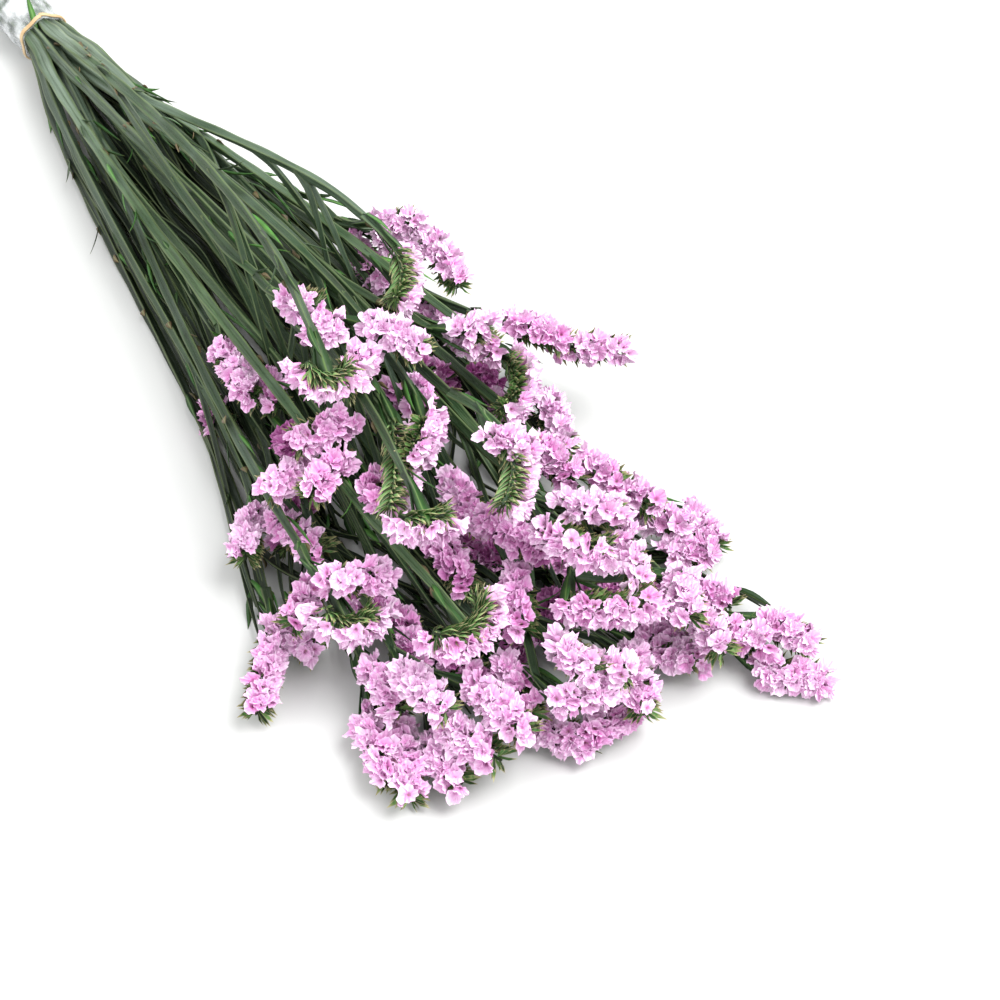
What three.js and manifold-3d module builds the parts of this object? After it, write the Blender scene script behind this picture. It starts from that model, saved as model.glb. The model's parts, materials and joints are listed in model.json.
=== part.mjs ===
// A tied bunch of dried pink statice that lies on its side.
// Millimetres, +Z up. +X runs along the bunch from the tie to the flowers.
// The origin is on the surface that the bunch lies on, under the middle of the tie.

import * as THREE from "three";
import { mergeVertices } from "three/addons/utils/BufferGeometryUtils.js";
import Module from "manifold-3d";

// Stems: half the width across their wings, and the step between the stations of a sweep
const STEM_RADIUS = 3.6;
const STEM_TAPER = 0.28;
const STEM_VALLEY = 0.42;
const STEM_STEP = 45;
const BRANCH_RADIUS = 3.0;
const BRANCH_STEP = 28;
const BRANCH_ROOT = 0.3;
const TWIG_RADIUS = 2.1;
const TWIG_STEP = 18;
const TWIG_ROOT = 0.5;
const CUT_END_X = -52;

// Radii round a section, as shares of its own: winged main stem, branch, and twig
const WINGED = [STEM_VALLEY, 1, STEM_VALLEY, 1, STEM_VALLEY, 1];
const THREE_SIDED = [1, 1, 1];
const FOUR_SIDED = [1, 1, 1, 1];

// Tie: rings of stem places as count, radius in pitches and turn in degrees, and where the
// stems leave it
const TIE_HEIGHT = 17.5;
const TIE_PITCH = 5.7;
const TIE_RINGS = [[1, 0, 0], [6, 1, 30], [6, Math.sqrt(3), 0], [6, 2, 30]];
const TIE_LEAVE_X = 8;
const FLARE = 0.012;
const AIM_MIDDLE_Z = 45;
const AIM_Y = 0.11;
const AIM_Z = 0.28;
const AIM_SCATTER_Y = 1.7;
const AIM_SCATTER_Z = 1.2;
const BAND_INNER = 16.5;
const BAND_THICKNESS = 1.4;
const BAND_TURNS = 2;
const BAND_TURN_WIDTH = 1.8;
const BAND_GROOVE = 0.35;
const TIE_SIDES = 16;

// Film bag over the cut ends
const BAG_INNER = 15.6;
const BAG_WALL = 0.6;
const BAG_MOUTH_X = 7;
const BAG_END_X = -63;
const BAG_SHOULDER = 5;
const BAG_END_SHARE = 0.45;
const BAG_DIMPLE = 4;

// Spikes: heights are measured from the rachis, and halves to each side of it
const SPIKELET_PITCH = 8;
const PITCH_AT = 8;
const COMB_HEIGHT = 6;
const COMB_HALF = 5.6;
const NOTCH_HEIGHT = 4.6;
const NOTCH_HALF = 2.2;
const KEEL = 0.9;
const RIDGE_HEIGHT = 9.5;
const NOTCH_RIDGE = 8.4;
const CUP_LONG = 5;
const CUP_DIMPLE = 3;
const CUP_RADIUS = 5;
const CUP_SPLAY = 0.4;
const CUP_LEAN = 0.35;
const CUP_TWIST = 0.06;
const RUFFLE = 1;

// Bracts at the forks
const BRACT_LONG = 20;
const BRACT_HALF = 2.2;
const BRACT_THICK = 1;
const BRACT_SPREAD = 0.4;
const BRACT_WIDEST = 0.4;
const BRACT_SUNK = 1;

// Clearances: between neighbours, and between a branch and the head that it carries.
// An overlap under the least volume counts as none.
const GAP = 0.45;
const SEAT_GAP = 0.3;
const LEAST_OVERLAP = 1e-4;
const MERGE_STEP = 1e-4;

// Radii that keep stems and spikes apart, with the height of each spike's two rows
const COMB_ROOM = { height: 3.5, radius: 4.3 };
const BLOOM_ROOM = { height: 9.4, radius: 6.4 };
const ROOM_STEP = 10;
const ROOM_BEND = 40;
const ROW_STEP = 7;
const TOUCH_MOST = 16;
const TOUCH_LEAST = 12;

// Forks: how far back a branch leaves the main stem, and how far back a head's twigs part
const FORK_SHARE = 0.62;
const FORK_LEAST = 70;
const FORK_MOST = 290;
const PART_BASE = 26;
const PART_PER_SPIKE = 12;
const PART_LOWEST = 6;
const LEAN_SHARE = 0.7;

// How hard a curve follows the ways at its ends, as a share of its length
const PULL_AT_TIE = 0.9;
const PULL_AT_FORK = 0.35;
const PULL_AT_HEAD = 0.7;
const LEAST_STEPS = 6;

// Settling: passes in which stems and heads push each other clear. Heads give way in the direction
// in which they lie stacked, and little to their sides.
const PASSES = 160;
const REACH = 22;
const STACKING = [-0.524, 0.372, -0.766];
const GIVE_ASIDE = 0.1;
const HOMING_PASSES = 100;
const HOMING = 0.985;
const REST_MOST = 8;
const LEAST_SHARE = 0.3;
const LAST_PASSES = 40;
const SMOOTHING = 0.35;
const LAST_SMOOTHING = 0.1;

// Each stem lists its heads, and each head its spikes. A spike is x, y and z of the middle of
// its rachis, heading, roll, length, bend, and the share of its length at which the twig holds it.
// Lengths are millimetres and angles degrees. Roll 0 faces up, and 90 faces left of the heading.
const STEMS = [
  [
    [[299, 35, 40, -5, -35, 34, 20, 0], [306, 51, 64, 35, -45, 15, 20, 0],
      [303, 45, 60, 55, -50, 20, 20, 0],
      [329, 60, 50, -10, 0, 34, 30, 0]],
  ],
  [
    [[349, 28, 74, -35, 130, 38, 70, 0]],
    [[388, 38, 58, 20, -40, 12, 20, 0], [388, 41, 62, 85, -40, 15, 20, 0],
      [390, 43, 54, 35, -45, 17, 20, 0]],
  ],
  [
    [[352, -25, 78, 45, -45, 12, 20, 0], [366, -24, 74, 65, -45, 14, 20, 0],
      [389, -7, 72, 20, -20, 26, 20, 0],
      [391, -23, 70, -50, 35, 20, 20, 0]],
    [[399, -41, 88, 55, -140, 24, 150, 0.5]],
  ],
  [
    [[340, -58, 57, -5, -30, 36, 15, 0], [356, -59, 54, -10, -5, 18, 10, 0]],
    [[390, -59, 46, 0, -20, 12, 20, 0]],
  ],
  [
    [[327, -68, 20, -20, -35, 14, 20, 0]],
    [[412, -101, 28, -40, -5, 23, 20, 0], [427, -85, 32, 15, -25, 27, 20, 0]],
  ],
  [
    [[415, -56, 70, -95, 40, 26, 15, 0], [433, -67, 62, -65, 30, 22, 20, 0],
      [418, -78, 52, -85, 35, 18, 20, 0]],
    [[480, -32, 28, -10, -20, 28, 20, 0]],
  ],
  [
    [[454, -96, 26, -60, 25, 25, 20, 0]],
    [[467, -126, 10, -40, 25, 44, 10, 0]],
  ],
  [
    [[470, -76, 44, 65, -40, 24, 50, 0], [482, -88, 34, 55, -110, 26, 140, 0.5]],
  ],
  [
    [[514, -91, 22, -5, -25, 25, 20, 0], [531, -108, 9, -15, -20, 32, 15, 0],
      [543, -107, 10, -25, 15, 35, 15, 0]],
    [[527, -78, 28, 10, -25, 26, 20, 0], [552, -71, 14, 20, -25, 29, 20, 0],
      [551, -53, 26, 10, -25, 30, 20, 0]],
  ],
  [
    [[447, -57, 60, -10, -15, 14, 20, 0]],
    [[529, -58, 58, 100, -105, 34, 140, 0.5]],
  ],
  [
    [[452, -46, 82, -35, 135, 50, 25, 0]],
    [[482, -46, 76, 60, -110, 22, 60, 0.5]],
  ],
  [
    [[414, -7, 66, -35, 0, 17, 10, 0]],
    [[440, -26, 76, -50, 70, 26, 20, 0]],
  ],
  [
    [[489, -7, 80, -40, 130, 38, 45, 0], [475, 2, 80, 35, -30, 17, 20, 0]],
    [[519, -23, 36, -30, -25, 28, 20, 0]],
    [[470, -18, 54, -5, -25, 28, 20, 0], [495, -13, 58, 20, -35, 29, 20, 0]],
  ],
  [
    [[391, -3, 56, 70, -40, 10, 20, 0], [365, 52, 40, 30, -40, 20, 20, 0],
      [388, 45, 36, 55, -45, 19, 20, 0]],
    [[419, 46, 50, -40, 95, 40, 90, 0]],
  ],
  [
    [[399, 73, 48, 30, -20, 28, 20, 0], [411, 94, 36, 50, -45, 35, 15, 0]],
    [[436, 55, 28, -20, 5, 31, 20, 0]],
  ],
  [
    [[468, 34, 46, 0, -30, 25, 20, 0], [484, 48, 44, 15, -25, 18, 20, 0],
      [497, 58, 34, 15, -15, 20, 20, 0]],
    [[506, 64, 24, 25, -30, 26, 15, 0], [521, 80, 18, -5, -10, 24, 20, 0]],
  ],
  [
    [[526, 0, 70, 30, -70, 30, 60, 0], [541, 17, 58, -25, -10, 24, 30, 0],
      [516, 17, 64, 50, -20, 22, 20, 0]],
    [[553, -2, 58, 60, -70, 36, 70, 0], [560, 31, 46, -30, -10, 23, 20, 0]],
  ],
  [
    [[568, 44, 20, -10, -25, 28, 20, 0]],
    [[552, 32, 10, 50, -35, 14, 20, 0]],
    [[580, 56, 18, 30, -35, 18, 20, 0], [590, 73, 18, 20, -25, 22, 20, 0],
      [603, 65, 8, 45, -45, 29, 20, 0]],
  ],
  [
    [[562, -27, 48, 10, -30, 19, 20, 0], [569, -30, 36, 75, -50, 23, 30, 0],
      [574, -4, 26, -25, 10, 31, 20, 0],
      [574, -18, 44, 40, -25, 15, 20, 0]],
    [[567, -38, 8, 35, -45, 26, 20, 0], [576, -26, 8, 90, -40, 23, 20, 0]],
    [[549, -45, 24, -10, -15, 28, 20, 0]],
  ],
];

const add = (a, b) => [a[0] + b[0], a[1] + b[1], a[2] + b[2]];
const sub = (a, b) => [a[0] - b[0], a[1] - b[1], a[2] - b[2]];
const scale = (a, k) => [a[0] * k, a[1] * k, a[2] * k];
const dot = (a, b) => a[0] * b[0] + a[1] * b[1] + a[2] * b[2];
const cross = (a, b) => [
  a[1] * b[2] - a[2] * b[1],
  a[2] * b[0] - a[0] * b[2],
  a[0] * b[1] - a[1] * b[0],
];
const size = (a) => Math.sqrt(dot(a, a));
const unit = (a) => scale(a, 1 / size(a));
const clamp = (v) => Math.min(1, Math.max(0, v));
const radians = (degrees) => (degrees * Math.PI) / 180;

// The rachis of a spike is an arc. Flowers stand on its outer side.
function makeSpike([x, y, z, heading, roll, long, bend, held]) {
  const ahead = [Math.cos(radians(heading)), Math.sin(radians(heading)), 0];
  const left = [-ahead[1], ahead[0], 0];
  const up = [0, 0, Math.cos(radians(roll))];
  const out = add(up, scale(left, Math.sin(radians(roll))));
  return { middle: [x, y, z], ahead, out, long, turn: radians(bend), held };
}

// Place, direction and the way the flowers face, at s from -0.5 to 0.5 along the rachis
function stationOf(spike, s) {
  const { middle, ahead, out, long, turn } = spike;
  const sin = Math.sin(turn * s);
  const cos = Math.cos(turn * s);
  const radius = long / turn;
  const bow = add(scale(ahead, sin * radius), scale(out, (cos - 1) * radius));
  return {
    place: add(middle, bow),
    way: sub(scale(ahead, cos), scale(out, sin)),
    face: add(scale(out, cos), scale(ahead, sin)),
  };
}

// Points of the row of flowers, for finding how near two spikes stand
function bloomRow(spike) {
  const steps = Math.max(2, Math.round(spike.long / ROW_STEP));
  const row = [];
  for (let k = 0; k <= steps; k++) {
    const { place, face } = stationOf(spike, k / steps - 0.5);
    row.push(add(place, scale(face, BLOOM_ROOM.height)));
  }
  return row;
}

// Moves a spike until it touches the ones before it in its head
function closeUp(spike, others) {
  let best = null;
  for (const other of others) {
    for (const a of bloomRow(other)) {
      for (const b of bloomRow(spike)) {
        const far = size(sub(a, b));
        if (!best || far < best.far) {
          best = { far, step: sub(a, b) };
        }
      }
    }
  }
  const wanted = Math.min(TOUCH_MOST, Math.max(TOUCH_LEAST, best.far));
  spike.middle = add(spike.middle, scale(best.step, (best.far - wanted) / best.far));
}

// A smooth curve from a to b with the given directions at its ends
function curve(a, wayA, b, wayB, steps) {
  const points = [];
  for (let k = 0; k <= steps; k++) {
    const t = k / steps;
    const t2 = t * t;
    const t3 = t2 * t;
    const ends = add(scale(a, 2 * t3 - 3 * t2 + 1), scale(b, -2 * t3 + 3 * t2));
    const ways = add(scale(wayA, t3 - 2 * t2 + t), scale(wayB, t3 - t2));
    points.push(add(ends, ways));
  }
  return points;
}

// A head: its spikes, where its twig splits, and the direction in which it gets there
function planHead(entries) {
  const spikes = [];
  for (const entry of entries) {
    const spike = makeSpike(entry);
    if (spikes.length > 0) {
      closeUp(spike, spikes);
    }
    spikes.push(spike);
  }
  const ends = spikes.map((spike) => {
    const { place, way, face } = stationOf(spike, spike.held - 0.5);
    return { place, way: spike.held === 0 ? way : face };
  });
  let mean = [0, 0, 0];
  let lean = [0, 0, 0];
  for (const end of ends) {
    mean = add(mean, scale(end.place, 1 / ends.length));
    lean = add(lean, scale(end.way, 1 / ends.length));
  }
  const outward = unit(sub(mean, [0, 0, TIE_HEIGHT]));
  const way = unit(add(outward, scale(lean, LEAN_SHARE)));
  const node = sub(mean, scale(way, PART_BASE + PART_PER_SPIKE * (ends.length - 1)));
  node[2] = Math.max(node[2], PART_LOWEST);
  return { spikes, ends, node, way };
}

// Every stem takes the free place in the tie that is nearest to where it heads
function chooseSlots(plans) {
  const free = [];
  for (const [count, share, turn] of TIE_RINGS) {
    const radius = share * TIE_PITCH;
    for (let k = 0; k < count; k++) {
      const a = (2 * Math.PI * k) / count + radians(turn);
      free.push([TIE_LEAVE_X, radius * Math.cos(a), TIE_HEIGHT + radius * Math.sin(a)]);
    }
  }
  const aims = plans.map((heads, k) => {
    const { node } = heads[heads.length - 1];
    const y = node[1] * AIM_Y + (((k * 7) % 5) - 2) * AIM_SCATTER_Y;
    const above = (node[2] - AIM_MIDDLE_Z) * AIM_Z + (((k * 11) % 7) - 3) * AIM_SCATTER_Z;
    return { k, y, z: TIE_HEIGHT + above, spread: y * y + above * above };
  });
  const slots = [];
  for (const aim of [...aims].sort((a, b) => b.spread - a.spread)) {
    let best = 0;
    const off = (slot) => (slot[1] - aim.y) ** 2 + (slot[2] - aim.z) ** 2;
    free.forEach((slot, k) => {
      if (off(slot) < off(free[best])) {
        best = k;
      }
    });
    slots[aim.k] = free.splice(best, 1)[0];
  }
  return slots;
}

// The nearest points of two straight stretches, as shares along each, and the way between them
function nearest(a0, a1, b0, b1) {
  const da = sub(a1, a0);
  const db = sub(b1, b0);
  const w = sub(a0, b0);
  const aa = dot(da, da);
  const bb = dot(db, db);
  const ab = dot(da, db);
  const aw = dot(da, w);
  const bw = dot(db, w);
  const flat = aa * bb - ab * ab;
  let s = flat > 1e-6 * aa * bb ? clamp((ab * bw - aw * bb) / flat) : 0.5;
  let t = (ab * s + bw) / bb;
  if (t < 0) {
    t = 0;
    s = clamp(-aw / aa);
  } else if (t > 1) {
    t = 1;
    s = clamp((ab - aw) / aa);
  }
  return { s, t, way: sub(add(b0, scale(db, t)), add(a0, scale(da, s))) };
}

// All stems, branches, twigs and spikes, before and after they settle
class Bunch {
  constructor() {
    this.points = [];
    this.links = [];
    this.heads = [];
    this.stems = [];
    const plans = STEMS.map((heads) => heads.map(planHead).sort((a, b) => a.node[0] - b.node[0]));
    const slots = chooseSlots(plans);
    plans.forEach((plan, k) => this.addStem(k, plan, slots[k]));
    this.settle();
  }

  addPoint(place, radius, head = null, fixed = false) {
    const point = { place, radius, head, fixed, shift: [0, 0, 0] };
    this.points.push(point);
    return point;
  }

  addThread(points, stem, head = null) {
    for (let k = 0; k + 1 < points.length; k++) {
      const [a, b] = [points[k], points[k + 1]];
      this.links.push({ a, b, stem, head, radius: Math.max(a.radius, b.radius) });
    }
    return points;
  }

  addHead(stem, plan) {
    const head = { stem, plan, shift: [0, 0, 0], twigs: [] };
    this.heads.push(head);
    head.node = this.addPoint(plan.node, BRANCH_RADIUS, head);
    plan.spikes.forEach((spike, k) => {
      const end = plan.ends[k];
      const start = k === 0 ? head.node : head.twigs[0][1];
      const far = size(sub(end.place, start.place));
      const steps = Math.max(2, Math.round(far / TWIG_STEP));
      const pull = far * PULL_AT_HEAD;
      const line = curve(start.place, scale(plan.way, pull), end.place, scale(end.way, pull), steps);
      const twig = line.slice(1).map((place) => this.addPoint(place, TWIG_RADIUS, head));
      head.twigs.push(this.addThread([start, ...twig], stem, head));
      const bends = (spike.turn * 180) / Math.PI / ROOM_BEND;
      const stations = Math.max(1, Math.round(spike.long / ROOM_STEP), Math.ceil(bends));
      for (const room of [COMB_ROOM, BLOOM_ROOM]) {
        const row = [];
        for (let j = 0; j <= stations; j++) {
          const { place, face } = stationOf(spike, j / stations - 0.5);
          row.push(this.addPoint(add(place, scale(face, room.height)), room.radius, head));
        }
        this.addThread(row, stem, head);
      }
    });
    return head;
  }

  addStem(stem, plan, slot) {
    const farthest = plan[plan.length - 1];
    const heads = plan.map((head) => this.addHead(stem, head));
    const reach = size(sub(farthest.node, slot));
    const steps = Math.max(LEAST_STEPS, Math.round(reach / STEM_STEP));
    const flare = scale([0, slot[1], slot[2] - TIE_HEIGHT], FLARE);
    const wayA = scale(unit(add(unit(sub(farthest.node, slot)), flare)), reach * PULL_AT_TIE);
    const wayB = scale(farthest.way, reach * PULL_AT_HEAD);
    const line = curve(slot, wayA, farthest.node, wayB, steps);
    const main = [this.addPoint([CUT_END_X, slot[1], slot[2]], STEM_RADIUS, null, true)];
    line.slice(0, -1).forEach((place, k) => {
      const radius = STEM_RADIUS * (1 - (STEM_TAPER * k) / steps);
      main.push(this.addPoint(place, radius, null, k === 0));
    });
    main.push(heads[heads.length - 1].node);
    this.addThread(main, stem);
    const branches = heads.slice(0, -1).map((head) => {
      const node = head.plan.node;
      const back = Math.min(FORK_MOST, Math.max(FORK_LEAST, FORK_SHARE * node[0]));
      let fork = 2;
      for (let k = 2; k + 1 < main.length; k++) {
        const off = (j) => Math.abs(main[j].place[0] - (node[0] - back));
        if (off(k) < off(fork)) {
          fork = k;
        }
      }
      const from = main[fork].place;
      const ahead = unit(sub(main[fork + 1].place, main[fork - 1].place));
      const far = size(sub(node, from));
      const count = Math.max(2, Math.round(far / BRANCH_STEP));
      const wayIn = scale(head.plan.way, far * PULL_AT_HEAD);
      const arc = curve(from, scale(ahead, far * PULL_AT_FORK), node, wayIn, count);
      const middle = arc.slice(1, -1).map((place) => this.addPoint(place, BRANCH_RADIUS));
      return this.addThread([main[fork], ...middle, head.node], stem);
    });
    this.stems.push({ main, branches, heads });
  }

  at(point) {
    return add(point.place, point.head ? point.head.shift : point.shift);
  }

  // A head moves as one body, and so does the end of the branch that carries it
  mayPress(p, q) {
    if (p.stem !== q.stem) {
      return true;
    }
    if (p.head === q.head) {
      return false;
    }
    const touches = (head, link) => head && (link.a === head.node || link.b === head.node);
    return !touches(p.head, q) && !touches(q.head, p);
  }

  pairs() {
    const found = [];
    const middle = (link) => scale(add(link.a.place, link.b.place), 0.5);
    const half = (link) => size(sub(link.a.place, link.b.place)) / 2;
    const spans = this.links.map((link) => ({ link, middle: middle(link), half: half(link) }));
    spans.forEach((p, k) => {
      for (const q of spans.slice(k + 1)) {
        const room = p.half + q.half + p.link.radius + q.link.radius + REACH;
        const way = sub(p.middle, q.middle);
        if (dot(way, way) < room * room && this.mayPress(p.link, q.link)) {
          found.push({ p: p.link, q: q.link, wake: 0 });
        }
      }
    });
    return found;
  }

  press(pair, pass) {
    const { p, q } = pair;
    const near = nearest(this.at(p.a), this.at(p.b), this.at(q.a), this.at(q.b));
    const far = size(near.way);
    const need = p.radius + q.radius + GAP;
    if (far >= need) {
      pair.wake = pass + 1 + Math.min(REST_MOST, Math.floor(far - need));
      return;
    }
    const pushes = [
      { point: p.a, share: 1 - near.s, sign: -1 },
      { point: p.b, share: near.s, sign: -1 },
      { point: q.a, share: 1 - near.t, sign: 1 },
      { point: q.b, share: near.t, sign: 1 },
    ];
    const sum = pushes.reduce((total, { point, share }) => total + (point.fixed ? 0 : share * share), 0);
    const push = scale(near.way, (need - far) / Math.max(far, 0.01) / Math.max(sum, LEAST_SHARE));
    for (const { point, share, sign } of pushes) {
      this.move(point, scale(push, share * sign));
    }
  }

  move(point, step) {
    if (point.fixed) {
      return;
    }
    if (point.head) {
      const stacked = scale(STACKING, dot(step, STACKING) * (1 - GIVE_ASIDE));
      point.head.shift = add(point.head.shift, add(scale(step, GIVE_ASIDE), stacked));
    } else {
      point.shift = add(point.shift, step);
    }
  }

  smooth(thread, share) {
    const shiftOf = (point) => (point.head ? point.head.shift : point.shift);
    for (let k = 1; k + 1 < thread.length; k++) {
      const point = thread[k];
      if (!point.fixed) {
        const mean = scale(add(shiftOf(thread[k - 1]), shiftOf(thread[k + 1])), 0.5);
        point.shift = add(point.shift, scale(sub(mean, point.shift), share));
      }
    }
  }

  settle() {
    const pairs = this.pairs();
    for (let pass = 0; pass < PASSES; pass++) {
      if (pass < HOMING_PASSES) {
        for (const head of this.heads) {
          head.shift = scale(head.shift, HOMING);
        }
      }
      for (const pair of pairs) {
        if (pair.wake <= pass) {
          this.press(pair, pass);
        }
      }
      for (const point of this.points) {
        const low = this.at(point)[2] - point.radius;
        if (low < 0) {
          this.move(point, [0, 0, -low]);
        }
      }
      const share = pass < PASSES - LAST_PASSES ? SMOOTHING : LAST_SMOOTHING;
      for (const { main, branches } of this.stems) {
        for (const thread of [main, ...branches]) {
          this.smooth(thread, share);
          this.smooth(thread, share);
        }
      }
    }
  }
}

const wasm = await Module();
wasm.setup();

// A closed mesh becomes a solid, turned so that its faces point outwards
function toSolid(points, triangles) {
  let volume = 0;
  for (const [a, b, c] of triangles) {
    volume += dot(points[a], cross(points[b], points[c]));
  }
  const order = volume < 0 ? triangles.map(([a, b, c]) => [a, c, b]) : triangles;
  return new wasm.Manifold(new wasm.Mesh({
    numProp: 3,
    vertProperties: new Float32Array(points.flat()),
    triVerts: new Uint32Array(order.flat()),
  }));
}

function geometryToSolid(geometry) {
  geometry.deleteAttribute("normal");
  geometry.deleteAttribute("uv");
  const merged = mergeVertices(geometry, MERGE_STEP);
  return new wasm.Manifold(new wasm.Mesh({
    numProp: 3,
    vertProperties: new Float32Array(merged.attributes.position.array),
    triVerts: new Uint32Array(merged.index.array),
  }));
}

function solidToGeometry(solid) {
  const { vertProperties, triVerts } = solid.getMesh();
  const geometry = new THREE.BufferGeometry();
  geometry.setAttribute("position", new THREE.BufferAttribute(vertProperties, 3));
  geometry.setIndex(new THREE.BufferAttribute(triVerts, 1));
  geometry.computeVertexNormals();
  return geometry;
}

// Rings of equal count joined side by side, closed by a fan at each end.
// A face that carries a calyx is left open for it.
function sweep(rings, cups = []) {
  const sides = rings[0].length;
  const points = rings.flat();
  const triangles = [];
  for (let k = 0; k + 1 < rings.length; k++) {
    for (let i = 0; i < sides; i++) {
      const a = k * sides + i;
      const b = k * sides + ((i + 1) % sides);
      const cup = cups.find((c) => c.ring === k && c.side === i);
      if (cup) {
        addCup(points, triangles, [a, b, b + sides, a + sides], cup);
      } else {
        triangles.push([a, b, b + sides], [a, b + sides, a + sides]);
      }
    }
  }
  closeEnd(points, triangles, 0, sides, false);
  closeEnd(points, triangles, (rings.length - 1) * sides, sides, true);
  return toSolid(points, triangles);
}

function closeEnd(points, triangles, first, sides, flip) {
  const hub = points.length;
  const fanned = sides > 4;
  if (fanned) {
    points.push(scale(points.slice(first, first + sides).reduce(add), 1 / sides));
  }
  for (let i = 0; i < (fanned ? sides : sides - 2); i++) {
    const face = fanned ? [hub, first + i, first + ((i + 1) % sides)]
      : [first, first + i + 1, first + i + 2];
    triangles.push(flip ? face : [face[0], face[2], face[1]]);
  }
}

// One papery calyx on a face of the comb: a funnel of five lobes with a ruffled rim and a hollow
// middle. Four lobes stand over the corners of the face, and one between the last and first.
function addCup(points, triangles, corners, { axis, radius, long, twist }) {
  const foot = scale(corners.map((k) => points[k]).reduce(add), 1 / corners.length);
  const flat = (v) => unit(sub(v, scale(axis, dot(v, axis))));
  const toward = corners.map((k) => flat(sub(points[k], foot)));
  toward.push(flat(add(toward[3], toward[0])));
  const rim = toward.map((way, k) => {
    const turned = flat(add(way, scale(cross(axis, way), twist)));
    const rise = long + (k % 2 === 0 ? RUFFLE : -RUFFLE);
    points.push(add(add(foot, scale(axis, rise)), scale(turned, radius)));
    return points.length - 1;
  });
  points.push(add(foot, scale(axis, long - CUP_DIMPLE)));
  const hub = points.length - 1;
  rim.forEach((from, k) => {
    const to = rim[(k + 1) % rim.length];
    triangles.push([from, to, hub], [corners[k % corners.length], to, from]);
    if (k < corners.length) {
      triangles.push([corners[k], corners[(k + 1) % corners.length], to]);
    }
  });
}

// Directions along a line, and the side vectors that follow it without twisting
function framesAlong(line, firstSide) {
  let side = firstSide;
  return line.map((place, k) => {
    const before = line[Math.max(0, k - 1)];
    const after = line[Math.min(line.length - 1, k + 1)];
    const way = unit(sub(after, before));
    side = unit(sub(side, scale(way, dot(side, way))));
    return { place, way, side, cross: cross(way, side) };
  });
}

const pointIn = ({ place, side, cross: aside }, up, out) => (
  add(place, add(scale(side, up), scale(aside, out)))
);

// One section of a stem. Its first point lies on the under side.
function sectionRing(frame, section, radius, grow) {
  return section.map((share, k) => {
    const a = Math.PI + (2 * Math.PI * k) / section.length;
    const r = radius * share + grow;
    return pointIn(frame, r * Math.cos(a), r * Math.sin(a));
  });
}

// Teeth of the comb: the shares along the rachis at which spikelets stand
function teethOf(spike) {
  const count = Math.max(2, Math.round((spike.long + PITCH_AT * spike.turn) / SPIKELET_PITCH));
  return Array.from({ length: count }, (_, k) => (k + 0.5) / count - 0.5);
}

const pointOver = ({ place, face, aside }, up, out) => (
  add(place, add(scale(face, up), scale(aside, out)))
);

function stationWithSide(spike, s, shift) {
  const { place, way, face } = stationOf(spike, s);
  return { place: add(place, shift), way, face, aside: cross(way, face) };
}

// A comb: a keeled bar with a tooth to each side at every spikelet, and a ridge for the calyces
function combRings(spike, shift, grow) {
  const teeth = teethOf(spike);
  const half = 0.5 / teeth.length;
  const rings = [];
  const ring = (s, width, height, ridge) => {
    const station = stationWithSide(spike, s, shift);
    rings.push([
      pointOver(station, -KEEL - grow, 0),
      pointOver(station, height, -width - grow),
      pointOver(station, ridge + grow, 0),
      pointOver(station, height, width + grow),
    ]);
  };
  ring(-0.5, KEEL, KEEL, 2 * KEEL);
  teeth.forEach((s, k) => {
    ring(s, COMB_HALF, COMB_HEIGHT, RIDGE_HEIGHT);
    if (k + 1 < teeth.length) {
      ring(s + half, NOTCH_HALF, NOTCH_HEIGHT, NOTCH_RIDGE);
    }
  });
  ring(0.5, KEEL, COMB_HEIGHT, COMB_HEIGHT + KEEL);
  return rings;
}

// A pointed, keeled blade that grows from a stem
function bract(root, way, up) {
  const aside = unit(cross(way, up));
  const middle = add(root, scale(way, BRACT_LONG * BRACT_WIDEST));
  const points = [
    sub(root, scale(way, BRACT_SUNK)),
    sub(middle, scale(aside, BRACT_HALF)),
    add(middle, scale(aside, BRACT_HALF)),
    sub(middle, scale(up, BRACT_THICK)),
    add(root, scale(way, BRACT_LONG)),
  ];
  return toSolid(points, [[0, 1, 2], [0, 2, 3], [0, 3, 1], [4, 2, 1], [4, 3, 2], [4, 1, 3]]);
}

function threadSolid(line, section, radii, grow) {
  const frames = framesAlong(line, [0, 0, 1]);
  return sweep(frames.map((frame, k) => sectionRing(frame, section, radii[k], grow)));
}

// A bract that leans away from the way of the stem that it grows from
function leaningBract(root, way) {
  const aside = unit(cross([0, 0, 1], way));
  const up = cross(way, aside);
  const lean = unit(add(way, scale(add(up, aside), BRACT_SPREAD)));
  return bract(root, lean, unit(sub(up, scale(lean, dot(up, lean)))));
}

// A stem: its main stem, branches and bracts. All main stems stand the same way up in the tie, so
// that their wings interlock.
function stemSolid(bunch, stem, grow) {
  const places = stem.main.map((point) => bunch.at(point));
  const radii = stem.main.map((point) => point.radius);
  let solid = threadSolid(places, WINGED, radii, grow);
  for (const branch of stem.branches) {
    const line = branch.map((point) => bunch.at(point));
    const widths = branch.map((point, k) => BRANCH_RADIUS * (k === 0 ? BRANCH_ROOT : 1));
    solid = solid.add(threadSolid(line, THREE_SIDED, widths, grow));
    solid = solid.add(leaningBract(line[0], unit(sub(line[1], line[0]))));
  }
  return solid;
}

// Where the calyces of a spike stand: one at every tooth, to one side and the other in turn
function cupsOn(spike, firstRing, shift, grow) {
  const teeth = teethOf(spike);
  return teeth.map((s, k) => {
    const station = stationWithSide(spike, s, shift);
    const right = k % 2 === 0;
    const splay = scale(station.aside, right ? CUP_SPLAY : -CUP_SPLAY);
    const lean = k === 0 ? -CUP_LEAN : CUP_LEAN * (k === teeth.length - 1 ? 1 : 0);
    return {
      ring: firstRing + 2 * k,
      side: right ? 2 : 1,
      axis: unit(add(add(station.face, splay), scale(station.way, lean))),
      radius: CUP_RADIUS + grow,
      long: CUP_LONG + grow,
      twist: ((k * 5) % 7 - 3) * CUP_TWIST,
    };
  });
}

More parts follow.
